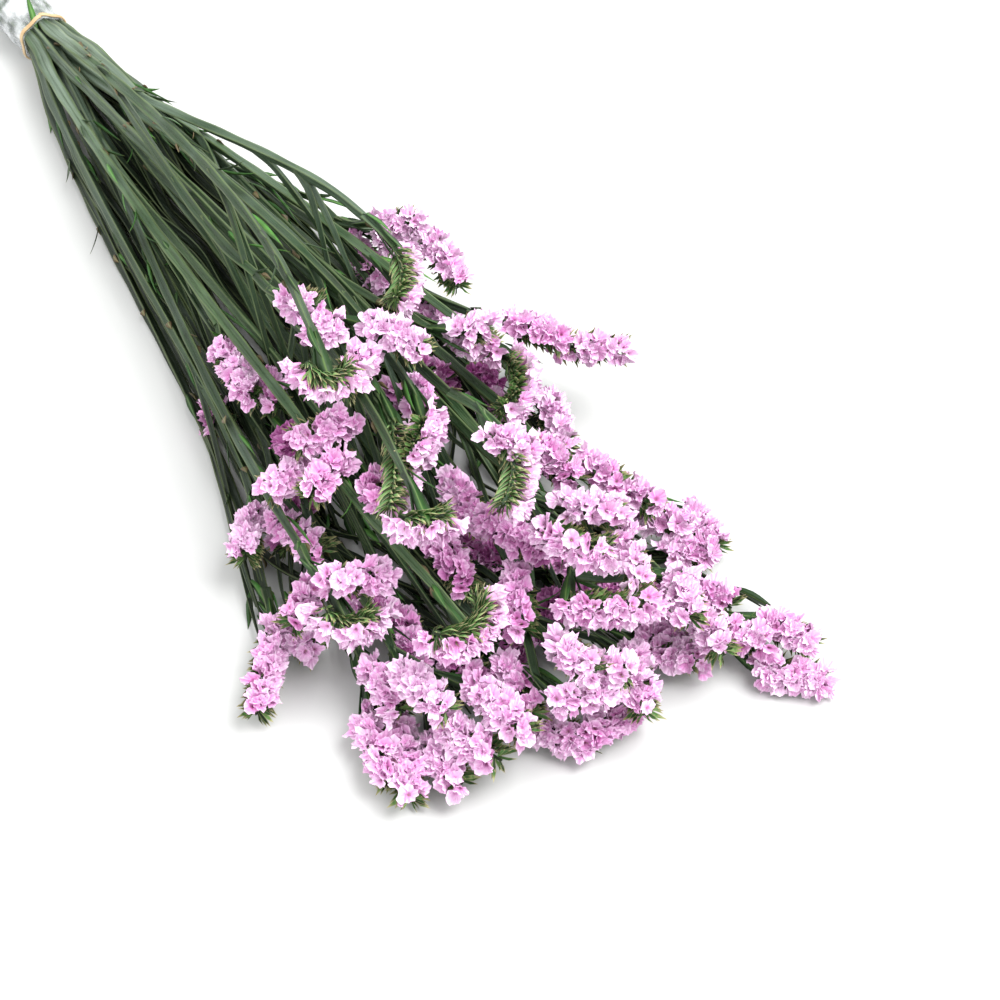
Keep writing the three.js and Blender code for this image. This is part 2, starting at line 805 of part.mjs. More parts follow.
// A spike with the twig that carries it. The comb's first ring follows the twig's last.
function spikeSolid(bunch, head, k, grow) {
  const { shift, plan } = head;
  const spike = plan.spikes[k];
  const line = head.twigs[k].map((point) => bunch.at(point));
  if (k === 0) {
    line[0] = add(line[0], scale(plan.way, SEAT_GAP - grow));
  }
  const comb = combRings(spike, shift, grow);
  const seat = stationWithSide(spike, spike.held - 0.5, shift);
  const carried = spike.held === 0;
  const frames = framesAlong([...line].reverse(), carried ? seat.face : seat.way);
  const rings = frames.reverse().map((frame, j) => {
    const radius = TWIG_RADIUS * (k > 0 && j === 0 ? TWIG_ROOT : 1);
    const turned = { ...frame, cross: scale(frame.cross, -1) };
    return sectionRing(turned, FOUR_SIDED, radius, grow);
  });
  if (carried) {
    const twig = rings.slice(0, -1);
    return sweep([...twig, ...comb], cupsOn(spike, twig.length + 1, shift, grow));
  }
  return sweep(comb, cupsOn(spike, 1, shift, grow)).add(sweep(rings));
}

// A flower head: its spikes, and a bract where they part
function headSolid(bunch, head, grow) {
  let solid = spikeSolid(bunch, head, 0, grow);
  for (let k = 1; k < head.plan.spikes.length; k++) {
    solid = solid.add(spikeSolid(bunch, head, k, grow));
  }
  return solid.add(leaningBract(bunch.at(head.twigs[0][1]), head.plan.way));
}

// A ring or bag turned round the middle of the tie, from a profile of x and radius
function turnedAboutTie(profile) {
  const points = profile.map(([x, radius]) => new THREE.Vector2(radius, x));
  const geometry = new THREE.LatheGeometry(points, TIE_SIDES, Math.PI / TIE_SIDES);
  geometry.rotateZ(-Math.PI / 2);
  geometry.translate(0, 0, TIE_HEIGHT);
  return geometryToSolid(geometry);
}

function bandSolid() {
  const outer = BAND_INNER + BAND_THICKNESS;
  const half = (BAND_TURNS * BAND_TURN_WIDTH) / 2;
  const profile = [[-half, BAND_INNER], [-half, outer]];
  for (let turn = 1; turn < BAND_TURNS; turn++) {
    const x = -half + turn * BAND_TURN_WIDTH;
    profile.push([x - BAND_GROOVE, outer], [x, outer - BAND_GROOVE], [x + BAND_GROOVE, outer]);
  }
  profile.push([half, outer], [half, BAND_INNER], [-half, BAND_INNER]);
  return turnedAboutTie(profile);
}

function bagSolid() {
  const outer = BAG_INNER + BAG_WALL;
  return turnedAboutTie([
    [BAG_END_X + BAG_DIMPLE, 0],
    [BAG_END_X, outer * BAG_END_SHARE],
    [BAG_END_X + BAG_SHOULDER, outer],
    [BAG_MOUTH_X, outer],
    [BAG_MOUTH_X, BAG_INNER],
    [BAG_END_X + BAG_SHOULDER + BAG_WALL, BAG_INNER],
    [BAG_END_X + BAG_WALL * 2, BAG_INNER * BAG_END_SHARE],
    [BAG_END_X + BAG_DIMPLE + BAG_WALL * 2, 0],
  ]);
}

const slabSize = 2000;
const belowGround = geometryToSolid(
  new THREE.BoxGeometry(slabSize, slabSize, slabSize).translate(0, 0, -slabSize / 2),
);

function trimmedAtGround(solid) {
  return solid.boundingBox().min[2] < 0 ? solid.subtract(belowGround) : solid;
}

// The largest piece of a cut solid
function wholePart(solid) {
  return solid.decompose().sort((a, b) => b.volume() - a.volume())[0];
}

function boxesMeet(p, q) {
  const a = p.boundingBox();
  const b = q.boundingBox();
  return [0, 1, 2].every((k) => a.min[k] <= b.max[k] && b.min[k] <= a.max[k]);
}

// Cuts a piece clear of the ones before it where they overlap
function clearOf(solid, others) {
  let cleared = solid;
  for (const other of others) {
    if (boxesMeet(cleared, other.solid) && cleared.intersect(other.solid).volume() > LEAST_OVERLAP) {
      cleared = wholePart(cleared.subtract(other.grown()));
    }
  }
  return cleared;
}

const green = { color: 0x3d5a2f, roughness: 0.75, metalness: 0 };
const pink = { color: 0xe6a3d2, roughness: 0.9, metalness: 0 };
const tan = { color: 0xc9a877, roughness: 0.6, metalness: 0 };
const film = { color: 0xe9edf0, roughness: 0.25, metalness: 0, transparent: true, opacity: 0.4 };

const group = new THREE.Group();
const made = [];

function addPiece(name, solid, grown, look) {
  const whole = trimmedAtGround(wholePart(clearOf(solid, made)));
  made.push({ name, solid: whole, grown });
  const mesh = new THREE.Mesh(solidToGeometry(whole), new THREE.MeshStandardMaterial(look));
  mesh.name = name;
  group.add(mesh);
}

const number = (k) => String(k + 1).padStart(2, "0");
const bunch = new Bunch();
const band = bandSolid();
const bag = bagSolid();
addPiece("rubber_band", band, () => band, tan);
addPiece("film_bag", bag, () => bag, film);
bunch.stems.forEach((stem, k) => {
  addPiece(`stem_${number(k)}`, stemSolid(bunch, stem, 0), () => stemSolid(bunch, stem, SEAT_GAP), green);
});
bunch.heads.forEach((head, k) => {
  const grown = () => headSolid(bunch, head, SEAT_GAP);
  addPiece(`flower_head_${number(k)}`, headSolid(bunch, head, 0), grown, pink);
});

export default group;
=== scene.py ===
"""A tied bunch of dried pink statice that lies on a pale surface.

Lengths are millimetres, and meshes are made in metres. +X runs along the bunch from the tie to the
flowers, and the origin is under the middle of the tie.
"""

import json
import math
import random

import bmesh
import bpy
import numpy as np
from mathutils import Matrix, Vector

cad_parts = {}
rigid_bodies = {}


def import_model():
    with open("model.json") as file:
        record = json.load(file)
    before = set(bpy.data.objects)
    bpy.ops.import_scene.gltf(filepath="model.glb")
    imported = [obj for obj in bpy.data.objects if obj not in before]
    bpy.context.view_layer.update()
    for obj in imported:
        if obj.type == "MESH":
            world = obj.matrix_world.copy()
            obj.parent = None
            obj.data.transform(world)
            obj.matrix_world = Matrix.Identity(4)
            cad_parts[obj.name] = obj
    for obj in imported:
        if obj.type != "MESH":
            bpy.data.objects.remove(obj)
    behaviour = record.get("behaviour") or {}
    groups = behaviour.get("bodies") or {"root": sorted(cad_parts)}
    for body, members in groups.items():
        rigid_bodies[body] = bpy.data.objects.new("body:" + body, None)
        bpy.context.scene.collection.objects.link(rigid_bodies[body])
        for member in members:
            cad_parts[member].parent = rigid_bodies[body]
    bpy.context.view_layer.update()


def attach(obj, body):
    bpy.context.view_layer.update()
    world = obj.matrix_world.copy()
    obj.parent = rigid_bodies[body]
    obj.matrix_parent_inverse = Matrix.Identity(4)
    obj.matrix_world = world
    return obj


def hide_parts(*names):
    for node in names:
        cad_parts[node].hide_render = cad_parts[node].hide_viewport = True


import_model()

MM = 0.001
# Any angle in radians
ANY_TURN = (0, 6)

# Stems: radii, steps, and their places in the tie
STEM_RADIUS = 3.6
STEM_TAPER = 0.28
STEM_STEP = 45
LEAST_STEPS = 6
BRANCH_RADIUS = 3.0
BRANCH_STEP = 28
TWIG_RADIUS = 2.1
TWIG_STEP = 18
CUT_END_X = -52
TIE_HEIGHT = 17.5
TIE_PITCH = 5.7
TIE_RINGS = ((1, 0, 0), (6, 1, 30), (6, math.sqrt(3), 0), (6, 2, 30))
TIE_LEAVE_X = 8
FLARE = 0.012
AIM_MIDDLE_Z = 45
AIM_Y = 0.11
AIM_Z = 0.28
AIM_SCATTER_Y = 1.7
AIM_SCATTER_Z = 1.2

# Room that stems and flowers keep from each other
GAP = 0.45
COMB_ROOM = (3.5, 4.3)
BLOOM_ROOM = (9.4, 6.4)
ROOM_STEP = 10
ROOM_BEND = 40
ROW_STEP = 7
TOUCH_MOST = 16
TOUCH_LEAST = 12

# Where a branch leaves its stem, and how far behind its spikes a head splits
FORK_SHARE = 0.62
FORK_LEAST = 70
FORK_MOST = 290
PART_BASE = 26
PART_PER_SPIKE = 12
PART_LOWEST = 6
LEAN_SHARE = 0.7

# How far a curve keeps to the directions of its ends, as a share of its reach
PULL_AT_TIE = 0.9
PULL_AT_FORK = 0.35
PULL_AT_HEAD = 0.7

# Settling: how long it takes, and how pieces give way in it
PASSES = 160
REACH = 22
STACKING = (-0.524, 0.372, -0.766)
GIVE_ASIDE = 0.1
HOMING_PASSES = 100
HOMING = 0.985
REST_MOST = 8
LEAST_SHARE = 0.3
LAST_PASSES = 40
SMOOTHING = 0.35
LAST_SMOOTHING = 0.1

# Rubber band: its path round the tie, and its section
BAND_RADIUS = 15.0
BAND_CORNER = 0.75
BAND_CORNERS = 6
BAND_TURNS = 2
BAND_PITCH = 1.6
BAND_OVERLAP = 0.4
BAND_STEPS = 64
BAND_SIDES = 10
BAND_HALF_WIDTH = 0.8
BAND_HALF_THICK = 0.6

# Film bag: its wall, its pleats, how it hugs the stems under the band, and how it is crumpled
BAG_RADIUS = 16.0
BAG_WALL = 0.5
BAG_SIDES = 96
BAG_FLOOR_X = -58
BAG_PLEATS = 26
BAG_PLEAT = 0.35
BAG_TIGHT_PLEAT = 0.4
BAG_UNDER_BAND = 0.8
BAG_HUG_X = 10
BAG_WAVES = 6
BAG_FOLDS = (5, 17)
BAG_TWISTS = (-0.3, 0.3)
BAG_CRUMPLE = 1.5
BAG_LOOSE_X = 20
# The bag from its closed end to its mouth: x, and radius as a share
BAG_OUTLINE = ((-62.0, 0.0), (-63.0, 0.3), (-62.5, 0.55), (-60, 0.8), (-56, 0.93), (-50, 0.99),
               (-44, 1.0), (-38, 1.0), (-32, 1.0), (-26, 1.0), (-20, 1.0), (-14, 0.99), (-9, 0.97),
               (-5, 0.95), (-2, 0.94), (0, 0.94), (2.4, 0.95))

# How thick the stems are along X, as shares: pinched in the tie and swollen past it
TIE_GIRTHS = ((-16, 1.0), (-5, 0.82), (2, 0.82), (12, 1.2), (40, 1.12), (100, 0.86))

# Fine stems: their steps, their wings, and the heights between which painted shade darkens them
PATH_STEP = 5.0
WING_VALLEY = 0.44
WING_SHARPNESS = 2.0
WING_REACH = 1.16
WING_WAVE = 0.07
WING_WAVES = 150
WING_WAVE_START = 7
SECTION_POINTS = 18
SHADED_HEIGHT = (0.006, 0.034)
# How far the fine stems twist in a metre, and how they thin
STEM_TWIST = 6
SIDE_TWIST = 8
TWIG_TWIST = 12
BRANCH_SHARES = (0.8, 0.84)
TWIG_SWELL = 1.15
TWIG_TAPER = 0.35
TIP_TAPER = 0.8

# Spikelets along a comb, and how many shapes their calyces and bracts have
SPIKELET_PITCH = 3.4
LEAST_SPIKELETS = 3
SPIKE_OVERHANG = 4
CALYX_KINDS = 16
BRACT_KINDS = 8

# Calyx: rings from the foot outside to the throat inside, as count, radius, height, depth in the
# funnel (0 throat, 1 rim) and how far the ring is ruffled
CALYX_RINGS = (
    (5, 0.7, 0.0, 0.1, 0.0),
    (10, 1.8, 4.2, 0.5, 0.3),
    (20, 4.3, 6.8, 1.0, 1.0),
    (10, 1.5, 4.7, 0.4, 0.3),
    (5, 0.4, 3.3, 0.0, 0.0),
)
CALYX_SQUASH = (0.42, 0.92)
CALYX_WARPS = 2
CALYX_WARP = (0.8, 2.0)
# How lobes, a bulge, pleats and chance turn the rim of a calyx, or move it out and up
CALYX_LOBES = 5
LOBE_OUT = 0.06
LOBE_UP = 0.4
BULGES = 3
BULGE_OUT = 0.12
PLEAT_OUT = 0.05
PLEAT_UP = 0.45
CHANCE_TURN = 0.25
CHANCE_OUT = 0.09
CHANCE_UP = 0.7

# Tones of a spike's calyces: its tint, what chance adds, and below which tone colours are the deep ones
# of painted shade
CALYX_TINTS = (0.34, 0.66)
TINT_SPREAD = 0.66
SHADED_TONE = 0.35
# A spike's calyces are deeper in colour, as painted shade, for each spike that lies over it: by
# how much, how much farther out those lie, within which distance in plan, and how much higher
COVER_SHADE = 0.16
COVER_OUT = 24
COVER_REACH = 30
COVER_RISE = 14
# Share of the spikelets that have lost their calyces
BARE_SHARE = 0.1
# Each calyx of a spikelet: how far to its side, how high, and how far it leans out
CALYX_PLACES = ((0.8, 4.0, 8), (2.0, 3.0, 33))
# Chance in how a calyx splays, leans along the comb, stands up, lies along it, and grows
CALYX_TILTS = (-18, 18)
CALYX_LEANS = (-0.45, 0.45)
CALYX_LIFTS = (-0.8, 0.8)
CALYX_SHIFTS = (-1.2, 1.2)
CALYX_GROWTH = (0.76, 1.08)

# Bract: length, rings as a share of it and half width, how far it bows, its section as side,
# height and edge, and chance in its width, its bow and its tip
BRACT_LONG = 9.0
BRACT_RINGS = ((0.14, 0.68), (0.56, 0.84))
BRACT_BOW = 0.9
BRACT_SECTION = ((-1, -0.3, 1), (0, -0.1, 0), (1, -0.3, 1), (0, 0.35, 0))
BRACT_WIDTHS = (0.9, 1.1)
BRACT_BOWS = (-0.1, 0.1)
BRACT_TIP_X = (-0.9, 0.9)
BRACT_TIP_Y = (-0.8, 0.3)
# Each bract of a spikelet: how far it leans out, leans forward, stands off the rachis, and grows
BRACT_PLACES = ((126, 1.3, -0.9, 0.9), (104, 0.8, -0.3, 1.05), (88, 0.7, 0.2, 1.05),
                (70, 0.6, 0.7, 0.95), (50, 0.5, 1.2, 0.85), (32, 0.4, 1.8, 0.8), (12, 0.25, 2.4, 0.75))
# Chance in how a bract splays, leans along the comb, stands aside and grows
BRACT_TILTS = (-10, 10)
BRACT_LEANS = (-0.28, 0.28)
BRACT_SIDES = (0.3, 1.6)
BRACT_GROWTH = (0.84, 1.12)
BRACT_TURN_BACK = 0.3

# Rachis of a comb
RACHIS_RADIUS = 1.2
RACHIS_TAPER = 0.4
RACHIS_STEPS = 8
RACHIS_TWIST = 4.0
RACHIS_TONES = (0.3, 0.7)
# The last spikelets at both ends of a comb lean along it, and their bracts are shorter
END_SPIKELETS = 1.6
END_LEAN = 0.6
END_SHRINK = 0.6

# Leaves and the lobes of wings: half widths along the blade as shares of the widest
LEAF_WIDTHS = (0.35, 0.8, 1.0, 0.92, 0.68, 0.36, 0.04)
WING_WIDTHS = (0.25, 0.45, 0.66, 0.86, 1.0, 0.78, 0.05)
LEAF_THICK = 0.28
LEAF_THIN = 0.35
LEAF_FOLD = 0.25
# How a leaf stands on its stem, and how it curls
LEAF_OUT = 1.9
LEAF_LEANS = (0.2, 0.45)
LEAF_CURLS = (20, 35, 90)
LEAF_CURL_BACK = 0.7
LEAF_TONE_MOST = 0.85
# Length and half width of leaves at forks, on side branches, undergrowth, stems and twigs
FORK_LEAF = ((16, 30), (1.6, 2.2))
LANE_LEAF = ((15, 30), (1.8, 2.6))
UNDER_LEAF = ((14, 24), (1.8, 2.6))
STEM_LEAF = ((14, 34), (1.0, 1.7))
TWIG_LEAF = ((12, 26), (1.5, 2.2))
LEAVES_PER_STEM = 9
FIRST_LEAF_STEP = 24
# Leaves that show by themselves: root, direction, length, half width, bend and tone
LONE_LEAVES = (
    ((4, -10, 33), (-13, 3, 10), 24, 1.9, 20, 0.84),
    ((43, -22, 12), (10.5, -5.4, -7.2), 25, 1.7, 10, 0.7),
    ((214, -43, 16), (10, -12, -4), 34, 2.1, 95, 0.45),
    ((240, 48, 30), (30, 20, 8), 40, 1.3, -35, 0.6),
    ((300, 40, 62), (35, 18, 10), 38, 1.6, -30, 0.84),
)

# Dry scales on the stems
DRY_SCALES_PER_STEM = 5
FIRST_SCALE_STEP = 14
SCALE_OUT = 2.3
SCALE_LEAN = 0.45
SCALE_LONG = (5, 8)
SCALE_HALF = 1.9
SCALE_BENDS = (-50, 10)
DRY_TONE = 0.96

# Lobes in which the wings of a twig end where it meets its comb
END_WINGS = 3
END_WING_BACK = 22
END_WING_OUT = 0.8
END_WING_TURNS = (-0.3, 0.3)
END_WING_LEANS = (0.06, 0.2)
END_WING_LONG = (24, 32)
END_WING_HALF = (2.0, 3.2)
END_WING_BENDS = (-12, 12)
END_WING_TONES = (0.0, 0.45)

# Side branches without flowers: how many, where they start and end, how high they lie, how they
# leave their stem, and how they wave
LANES = 44
LANE_SHIFT = 0.3
LANE_START = (25, 130)
LANE_END = (330, 560)
LANE_HEIGHT = (4.0, 16.0)
LANE_RADIUS = 2.3
LANE_STEP = 30
LANE_JOIN = 70
LANE_WAVE = 60
LANE_SWAY = 0.4
LANE_LOWEST = 3.0
LANE_LEAST_STEMS = 4
LANE_LEAST_STEPS = 3
LANE_STRAY = 1
LANE_LOW_FIRST = 0.3
# Side branches lie under the stems, and their tone is kept dark as painted shade.
LANE_SHADE_TONE_MOST = 0.25

# Nothing lies lower than the first, and all above the second keeps its place
GROUND = 0.15
SOFT_GROUND = 1.2

# Bare twigs under each head, which leave it some points back along its stem
UNDER_PER_HEAD = 3
UNDER_SPREAD = 14
UNDER_BACK = 24
UNDER_HEIGHT = (3.5, 12.0)
UNDER_STEPS = 6
UNDER_FIRST = 3
UNDER_LAST = 5
UNDER_RADIUS = 1.9
# The bare twigs lie low under the heads, and their tone is kept dark as painted shade.
UNDER_SHADE_TONE_MOST = 0.3

# Short spikes that lie below the others: x, y and z of the middle, heading, roll and length
LOW_SPIKES = (
    (471, -12, 12, 40, -20, 26),
    (519, 21, 12, 60, -30, 26),
    (501, 16, 12, 50, 10, 24),
    (473, -66, 12, 20, -30, 26),
    (494, -67, 12, -20, -10, 24),
    (553, -87, 9, 0, -20, 22),
    (404, -77, 12, -30, -20, 24),
    (549, 62, 10, 20, -30, 22),
    (563, 28, 9, 40, -30, 24),
    (524, 69, 10, 60, -20, 20),
    (518, -53, 12, 10, -20, 24),
    (518, -26, 12, -40, 10, 24),
    (522, -5, 12, -30, -10, 24),
    (526, 39, 11, 50, -30, 24),
    (396, -64, 12, -20, -10, 22),
    (460, -104, 9, 20, -20, 20),
    (456, -74, 14, 30, 0, 22),
    (402, 49, 14, 20, -20, 22),
    (336, 58, 14, 20, -20, 22),
)
LOW_BEND = 25
LOW_TWIG = 40
LOW_STEPS = 5

# Seeds
GROWTH_SEED = 11
LANE_SEED = 21
UNDER_SEED = 22
CALYX_SEED = 3
BRACT_SEED = 4
BAG_SEED = 5

# Camera: pixels of a 1000 by 1000 image, place and direction, and how many metres it sees
IMAGE_HALF = 500
FOCAL = 1866
CAMERA_PLACE = (913.68, -314.85, 693.27)
CAMERA_LOOK = (-0.52432, 0.37184, -0.76604)
CAMERA_REACH = 20

# Light: strength of the white surroundings, and lamps with place and width in metres, and watts
WORLD_STRENGTH = 1.16
LAMPS = (("key", (1.05, 0.9, 2.0), 1.5, 70), ("fill", (-0.6, -1.0, 1.1), 1.4, 12))
LAMP_AIM = (0.35, 0.0, 0.0)
FLOOR_HALF = 6000

# Each stem lists its heads, and each head its spikes. A spike is x, y and z of the middle of
# its rachis, heading, roll and length. Where they aren't the usual ones, its bend and the share
# of its length at which the twig holds it follow. Lengths are millimetres and angles degrees. Roll
# 0 faces up, and 90 faces left of the heading.
USUAL_BEND = 20
STEMS = [
    [[[299, 35, 40, -5, -35, 34], [306, 51, 64, 35, -45, 15], [303, 45, 60, 55, -50, 20],
      [329, 60, 50, -10, 0, 34, 30]]],
    [[[349, 28, 74, -35, 130, 38, 70]],
     [[388, 38, 58, 20, -40, 12], [388, 41, 62, 85, -40, 15], [390, 43, 54, 35, -45, 17]]],
    [[[352, -25, 78, 45, -45, 12], [366, -24, 74, 65, -45, 14], [389, -7, 72, 20, -20, 26],
      [391, -23, 70, -50, 35, 20]],
     [[399, -41, 88, 55, -140, 24, 150, 0.5]]],
    [[[340, -58, 57, -5, -30, 36, 15], [356, -59, 54, -10, -5, 18, 10]],
     [[390, -59, 46, 0, -20, 12]]],
    [[[327, -68, 20, -20, -35, 14]],
     [[412, -101, 28, -40, -5, 23], [427, -85, 32, 15, -25, 27]]],
    [[[415, -56, 70, -95, 40, 26, 15], [433, -67, 62, -65, 30, 22], [418, -78, 52, -85, 35, 18]],
     [[480, -32, 28, -10, -20, 28]]],
    [[[454, -96, 26, -60, 25, 25]],
     [[467, -126, 10, -40, 25, 44, 10]]],
    [[[470, -76, 44, 65, -40, 24, 50], [482, -88, 34, 55, -110, 26, 140, 0.5]]],
    [[[514, -91, 22, -5, -25, 25], [531, -108, 9, -15, -20, 32, 15],
      [543, -107, 10, -25, 15, 35, 15]],
     [[527, -78, 28, 10, -25, 26], [552, -71, 14, 20, -25, 29], [551, -53, 26, 10, -25, 30]]],
    [[[447, -57, 60, -10, -15, 14]],
     [[529, -58, 58, 100, -105, 34, 140, 0.5]]],
    [[[452, -46, 82, -35, 135, 50, 25]],
     [[482, -46, 76, 60, -110, 22, 60, 0.5]]],
    [[[414, -7, 66, -35, 0, 17, 10]],
     [[440, -26, 76, -50, 70, 26]]],
    [[[489, -7, 80, -40, 130, 38, 45], [475, 2, 80, 35, -30, 17]],
     [[519, -23, 36, -30, -25, 28]],
     [[470, -18, 54, -5, -25, 28], [495, -13, 58, 20, -35, 29]]],
    [[[391, -3, 56, 70, -40, 10], [365, 52, 40, 30, -40, 20], [388, 45, 36, 55, -45, 19]],
     [[419, 46, 50, -40, 95, 40, 90]]],
    [[[399, 73, 48, 30, -20, 28], [411, 94, 36, 50, -45, 35, 15]],
     [[436, 55, 28, -20, 5, 31]]],
    [[[468, 34, 46, 0, -30, 25], [484, 48, 44, 15, -25, 18], [497, 58, 34, 15, -15, 20]],
     [[506, 64, 24, 25, -30, 26, 15], [521, 80, 18, -5, -10, 24]]],
    [[[526, 0, 70, 30, -70, 30, 60], [541, 17, 58, -25, -10, 24, 30], [516, 17, 64, 50, -20, 22]],
     [[553, -2, 58, 60, -70, 36, 70], [560, 31, 46, -30, -10, 23]]],
    [[[568, 44, 20, -10, -25, 28]],
     [[552, 32, 10, 50, -35, 14]],
     [[580, 56, 18, 30, -35, 18], [590, 73, 18, 20, -25, 22], [603, 65, 8, 45, -45, 29]]],
    [[[562, -27, 48, 10, -30, 19], [569, -30, 36, 75, -50, 23, 30], [574, -4, 26, -25, 10, 31],
      [574, -18, 44, 40, -25, 15]],
     [[567, -38, 8, 35, -45, 26], [576, -26, 8, 90, -40, 23]],
     [[549, -45, 24, -10, -15, 28]]],
]


def add(a, b):
    return (a[0] + b[0], a[1] + b[1], a[2] + b[2])


def sub(a, b):
    return (a[0] - b[0], a[1] - b[1], a[2] - b[2])


def scale(a, k):
    return (a[0] * k, a[1] * k, a[2] * k)


def dot(a, b):
    return a[0] * b[0] + a[1] * b[1] + a[2] * b[2]


def size(a):
    return math.sqrt(dot(a, a))


def unit(a):
    return scale(a, 1 / size(a))


def rounded(value):
    return math.floor(value + 0.5)


class Spike:
    """One arched comb of flowers. They stand on the outer side of its rachis."""

    def __init__(self, x, y, z, heading, roll, long, bend=USUAL_BEND, held=0):
        self.middle = (x, y, z)
        self.long = long
        self.held = held
        self.ahead = (math.cos(math.radians(heading)), math.sin(math.radians(heading)), 0)
        left = (-self.ahead[1], self.ahead[0], 0)
        up = (0, 0, math.cos(math.radians(roll)))
        self.out = add(up, scale(left, math.sin(math.radians(roll))))
        self.turn = math.radians(bend)

    def station(self, s):
        """Place, direction and the way the flowers face, at s from -0.5 to 0.5."""
        sin = math.sin(self.turn * s)
        cos = math.cos(self.turn * s)
        radius = self.long / self.turn
        bow = add(scale(self.ahead, sin * radius), scale(self.out, (cos - 1) * radius))
        way = sub(scale(self.ahead, cos), scale(self.out, sin))
        face = add(scale(self.out, cos), scale(self.ahead, sin))
        return add(self.middle, bow), way, face

    def row(self, steps, height):
        """Places along the comb, at a height over its rachis."""
        stations = [self.station(k / steps - 0.5) for k in range(steps + 1)]
        return [add(place, scale(face, height)) for place, _, face in stations]

    def bloom_row(self):
        return self.row(max(2, rounded(self.long / ROW_STEP)), BLOOM_ROOM[0])

    def close_up(self, others):
        """Moves the spike until it touches the ones before it in its head."""
        ways = [sub(a, b) for other in others for a in other.bloom_row() for b in self.bloom_row()]
        way = min(ways, key=size)
        far = size(way)
        wanted = min(TOUCH_MOST, max(TOUCH_LEAST, far))
        self.middle = add(self.middle, scale(way, (far - wanted) / far))


class Point:
    """A place that settles. The points of a head share one shift, and a fixed one has none."""

    __slots__ = ("place", "radius", "head", "fixed", "shift")

    def __init__(self, place, radius, head=None, fixed=False):
        self.place = place
        self.radius = radius
        self.head = head
        self.fixed = fixed
        self.shift = head.shift if head else [0.0, 0.0, 0.0]

    def at(self):
        return add(self.place, self.shift)


class Head:
    """A flower head: its spikes, where its twig splits, and the direction in which it gets there."""

    def __init__(self, entries):
        self.shift = [0.0, 0.0, 0.0]
        self.spikes = []
        for entry in entries:
            spike = Spike(*entry)
            if self.spikes:
                spike.close_up(self.spikes)
            self.spikes.append(spike)
        self.ends = []
        for spike in self.spikes:
            place, way, face = spike.station(spike.held - 0.5)
            self.ends.append((place, way if spike.held == 0 else face))
        mean = (0, 0, 0)
        lean = (0, 0, 0)
        for place, way in self.ends:
            mean = add(mean, scale(place, 1 / len(self.ends)))
            lean = add(lean, scale(way, 1 / len(self.ends)))
        away = unit(sub(mean, (0, 0, TIE_HEIGHT)))
        self.way = unit(add(away, scale(lean, LEAN_SHARE)))
        back = PART_BASE + PART_PER_SPIKE * (len(self.ends) - 1)
        x, y, z = sub(mean, scale(self.way, back))
        self.place = (x, y, max(z, PART_LOWEST))


def curve(a, way_a, b, way_b, steps):
    """A smooth curve from a to b with the given directions at its ends."""
    points = []
    for k in range(steps + 1):
        t = k / steps
        t2 = t * t
        t3 = t2 * t
        ends = add(scale(a, 2 * t3 - 3 * t2 + 1), scale(b, -2 * t3 + 3 * t2))
        ways = add(scale(way_a, t3 - 2 * t2 + t), scale(way_b, t3 - t2))
        points.append(add(ends, ways))
    return points


def choose_slots(plans):
    """Every stem takes the free place in the tie that is nearest to where it heads."""
    free = []
    for count, share, turn in TIE_RINGS:
        radius = share * TIE_PITCH
        for k in range(count):
            a = (2 * math.pi * k) / count + math.radians(turn)
            free.append((TIE_LEAVE_X, radius * math.cos(a), TIE_HEIGHT + radius * math.sin(a)))
    aims = []
    for k, heads in enumerate(plans):
        node = heads[-1].place
        y = node[1] * AIM_Y + (((k * 7) % 5) - 2) * AIM_SCATTER_Y
        above = (node[2] - AIM_MIDDLE_Z) * AIM_Z + (((k * 11) % 7) - 3) * AIM_SCATTER_Z
        aims.append((k, y, TIE_HEIGHT + above, y * y + above * above))
    slots = [None] * len(plans)
    for k, y, z, _ in sorted(aims, key=lambda aim: -aim[3]):
        best = min(range(len(free)), key=lambda j: (free[j][1] - y) ** 2 + (free[j][2] - z) ** 2)
        slots[k] = free.pop(best)
    return slots


class Link:
    """A straight stretch between two points, as thick as the thicker of them."""

    __slots__ = ("a", "b", "stem", "head", "radius")

    def __init__(self, a, b, stem, head):
        self.a = a
        self.b = b
        self.stem = stem
        self.head = head
        self.radius = max(a.radius, b.radius)


class Stem:
    """One stem: its threads, its heads, and what grows on it besides."""

    def __init__(self, main, branches, heads):
        self.main = main
        self.branches = branches
        self.heads = heads
        self.lanes = []
        self.under = []
        self.low = []
        self.lone = []


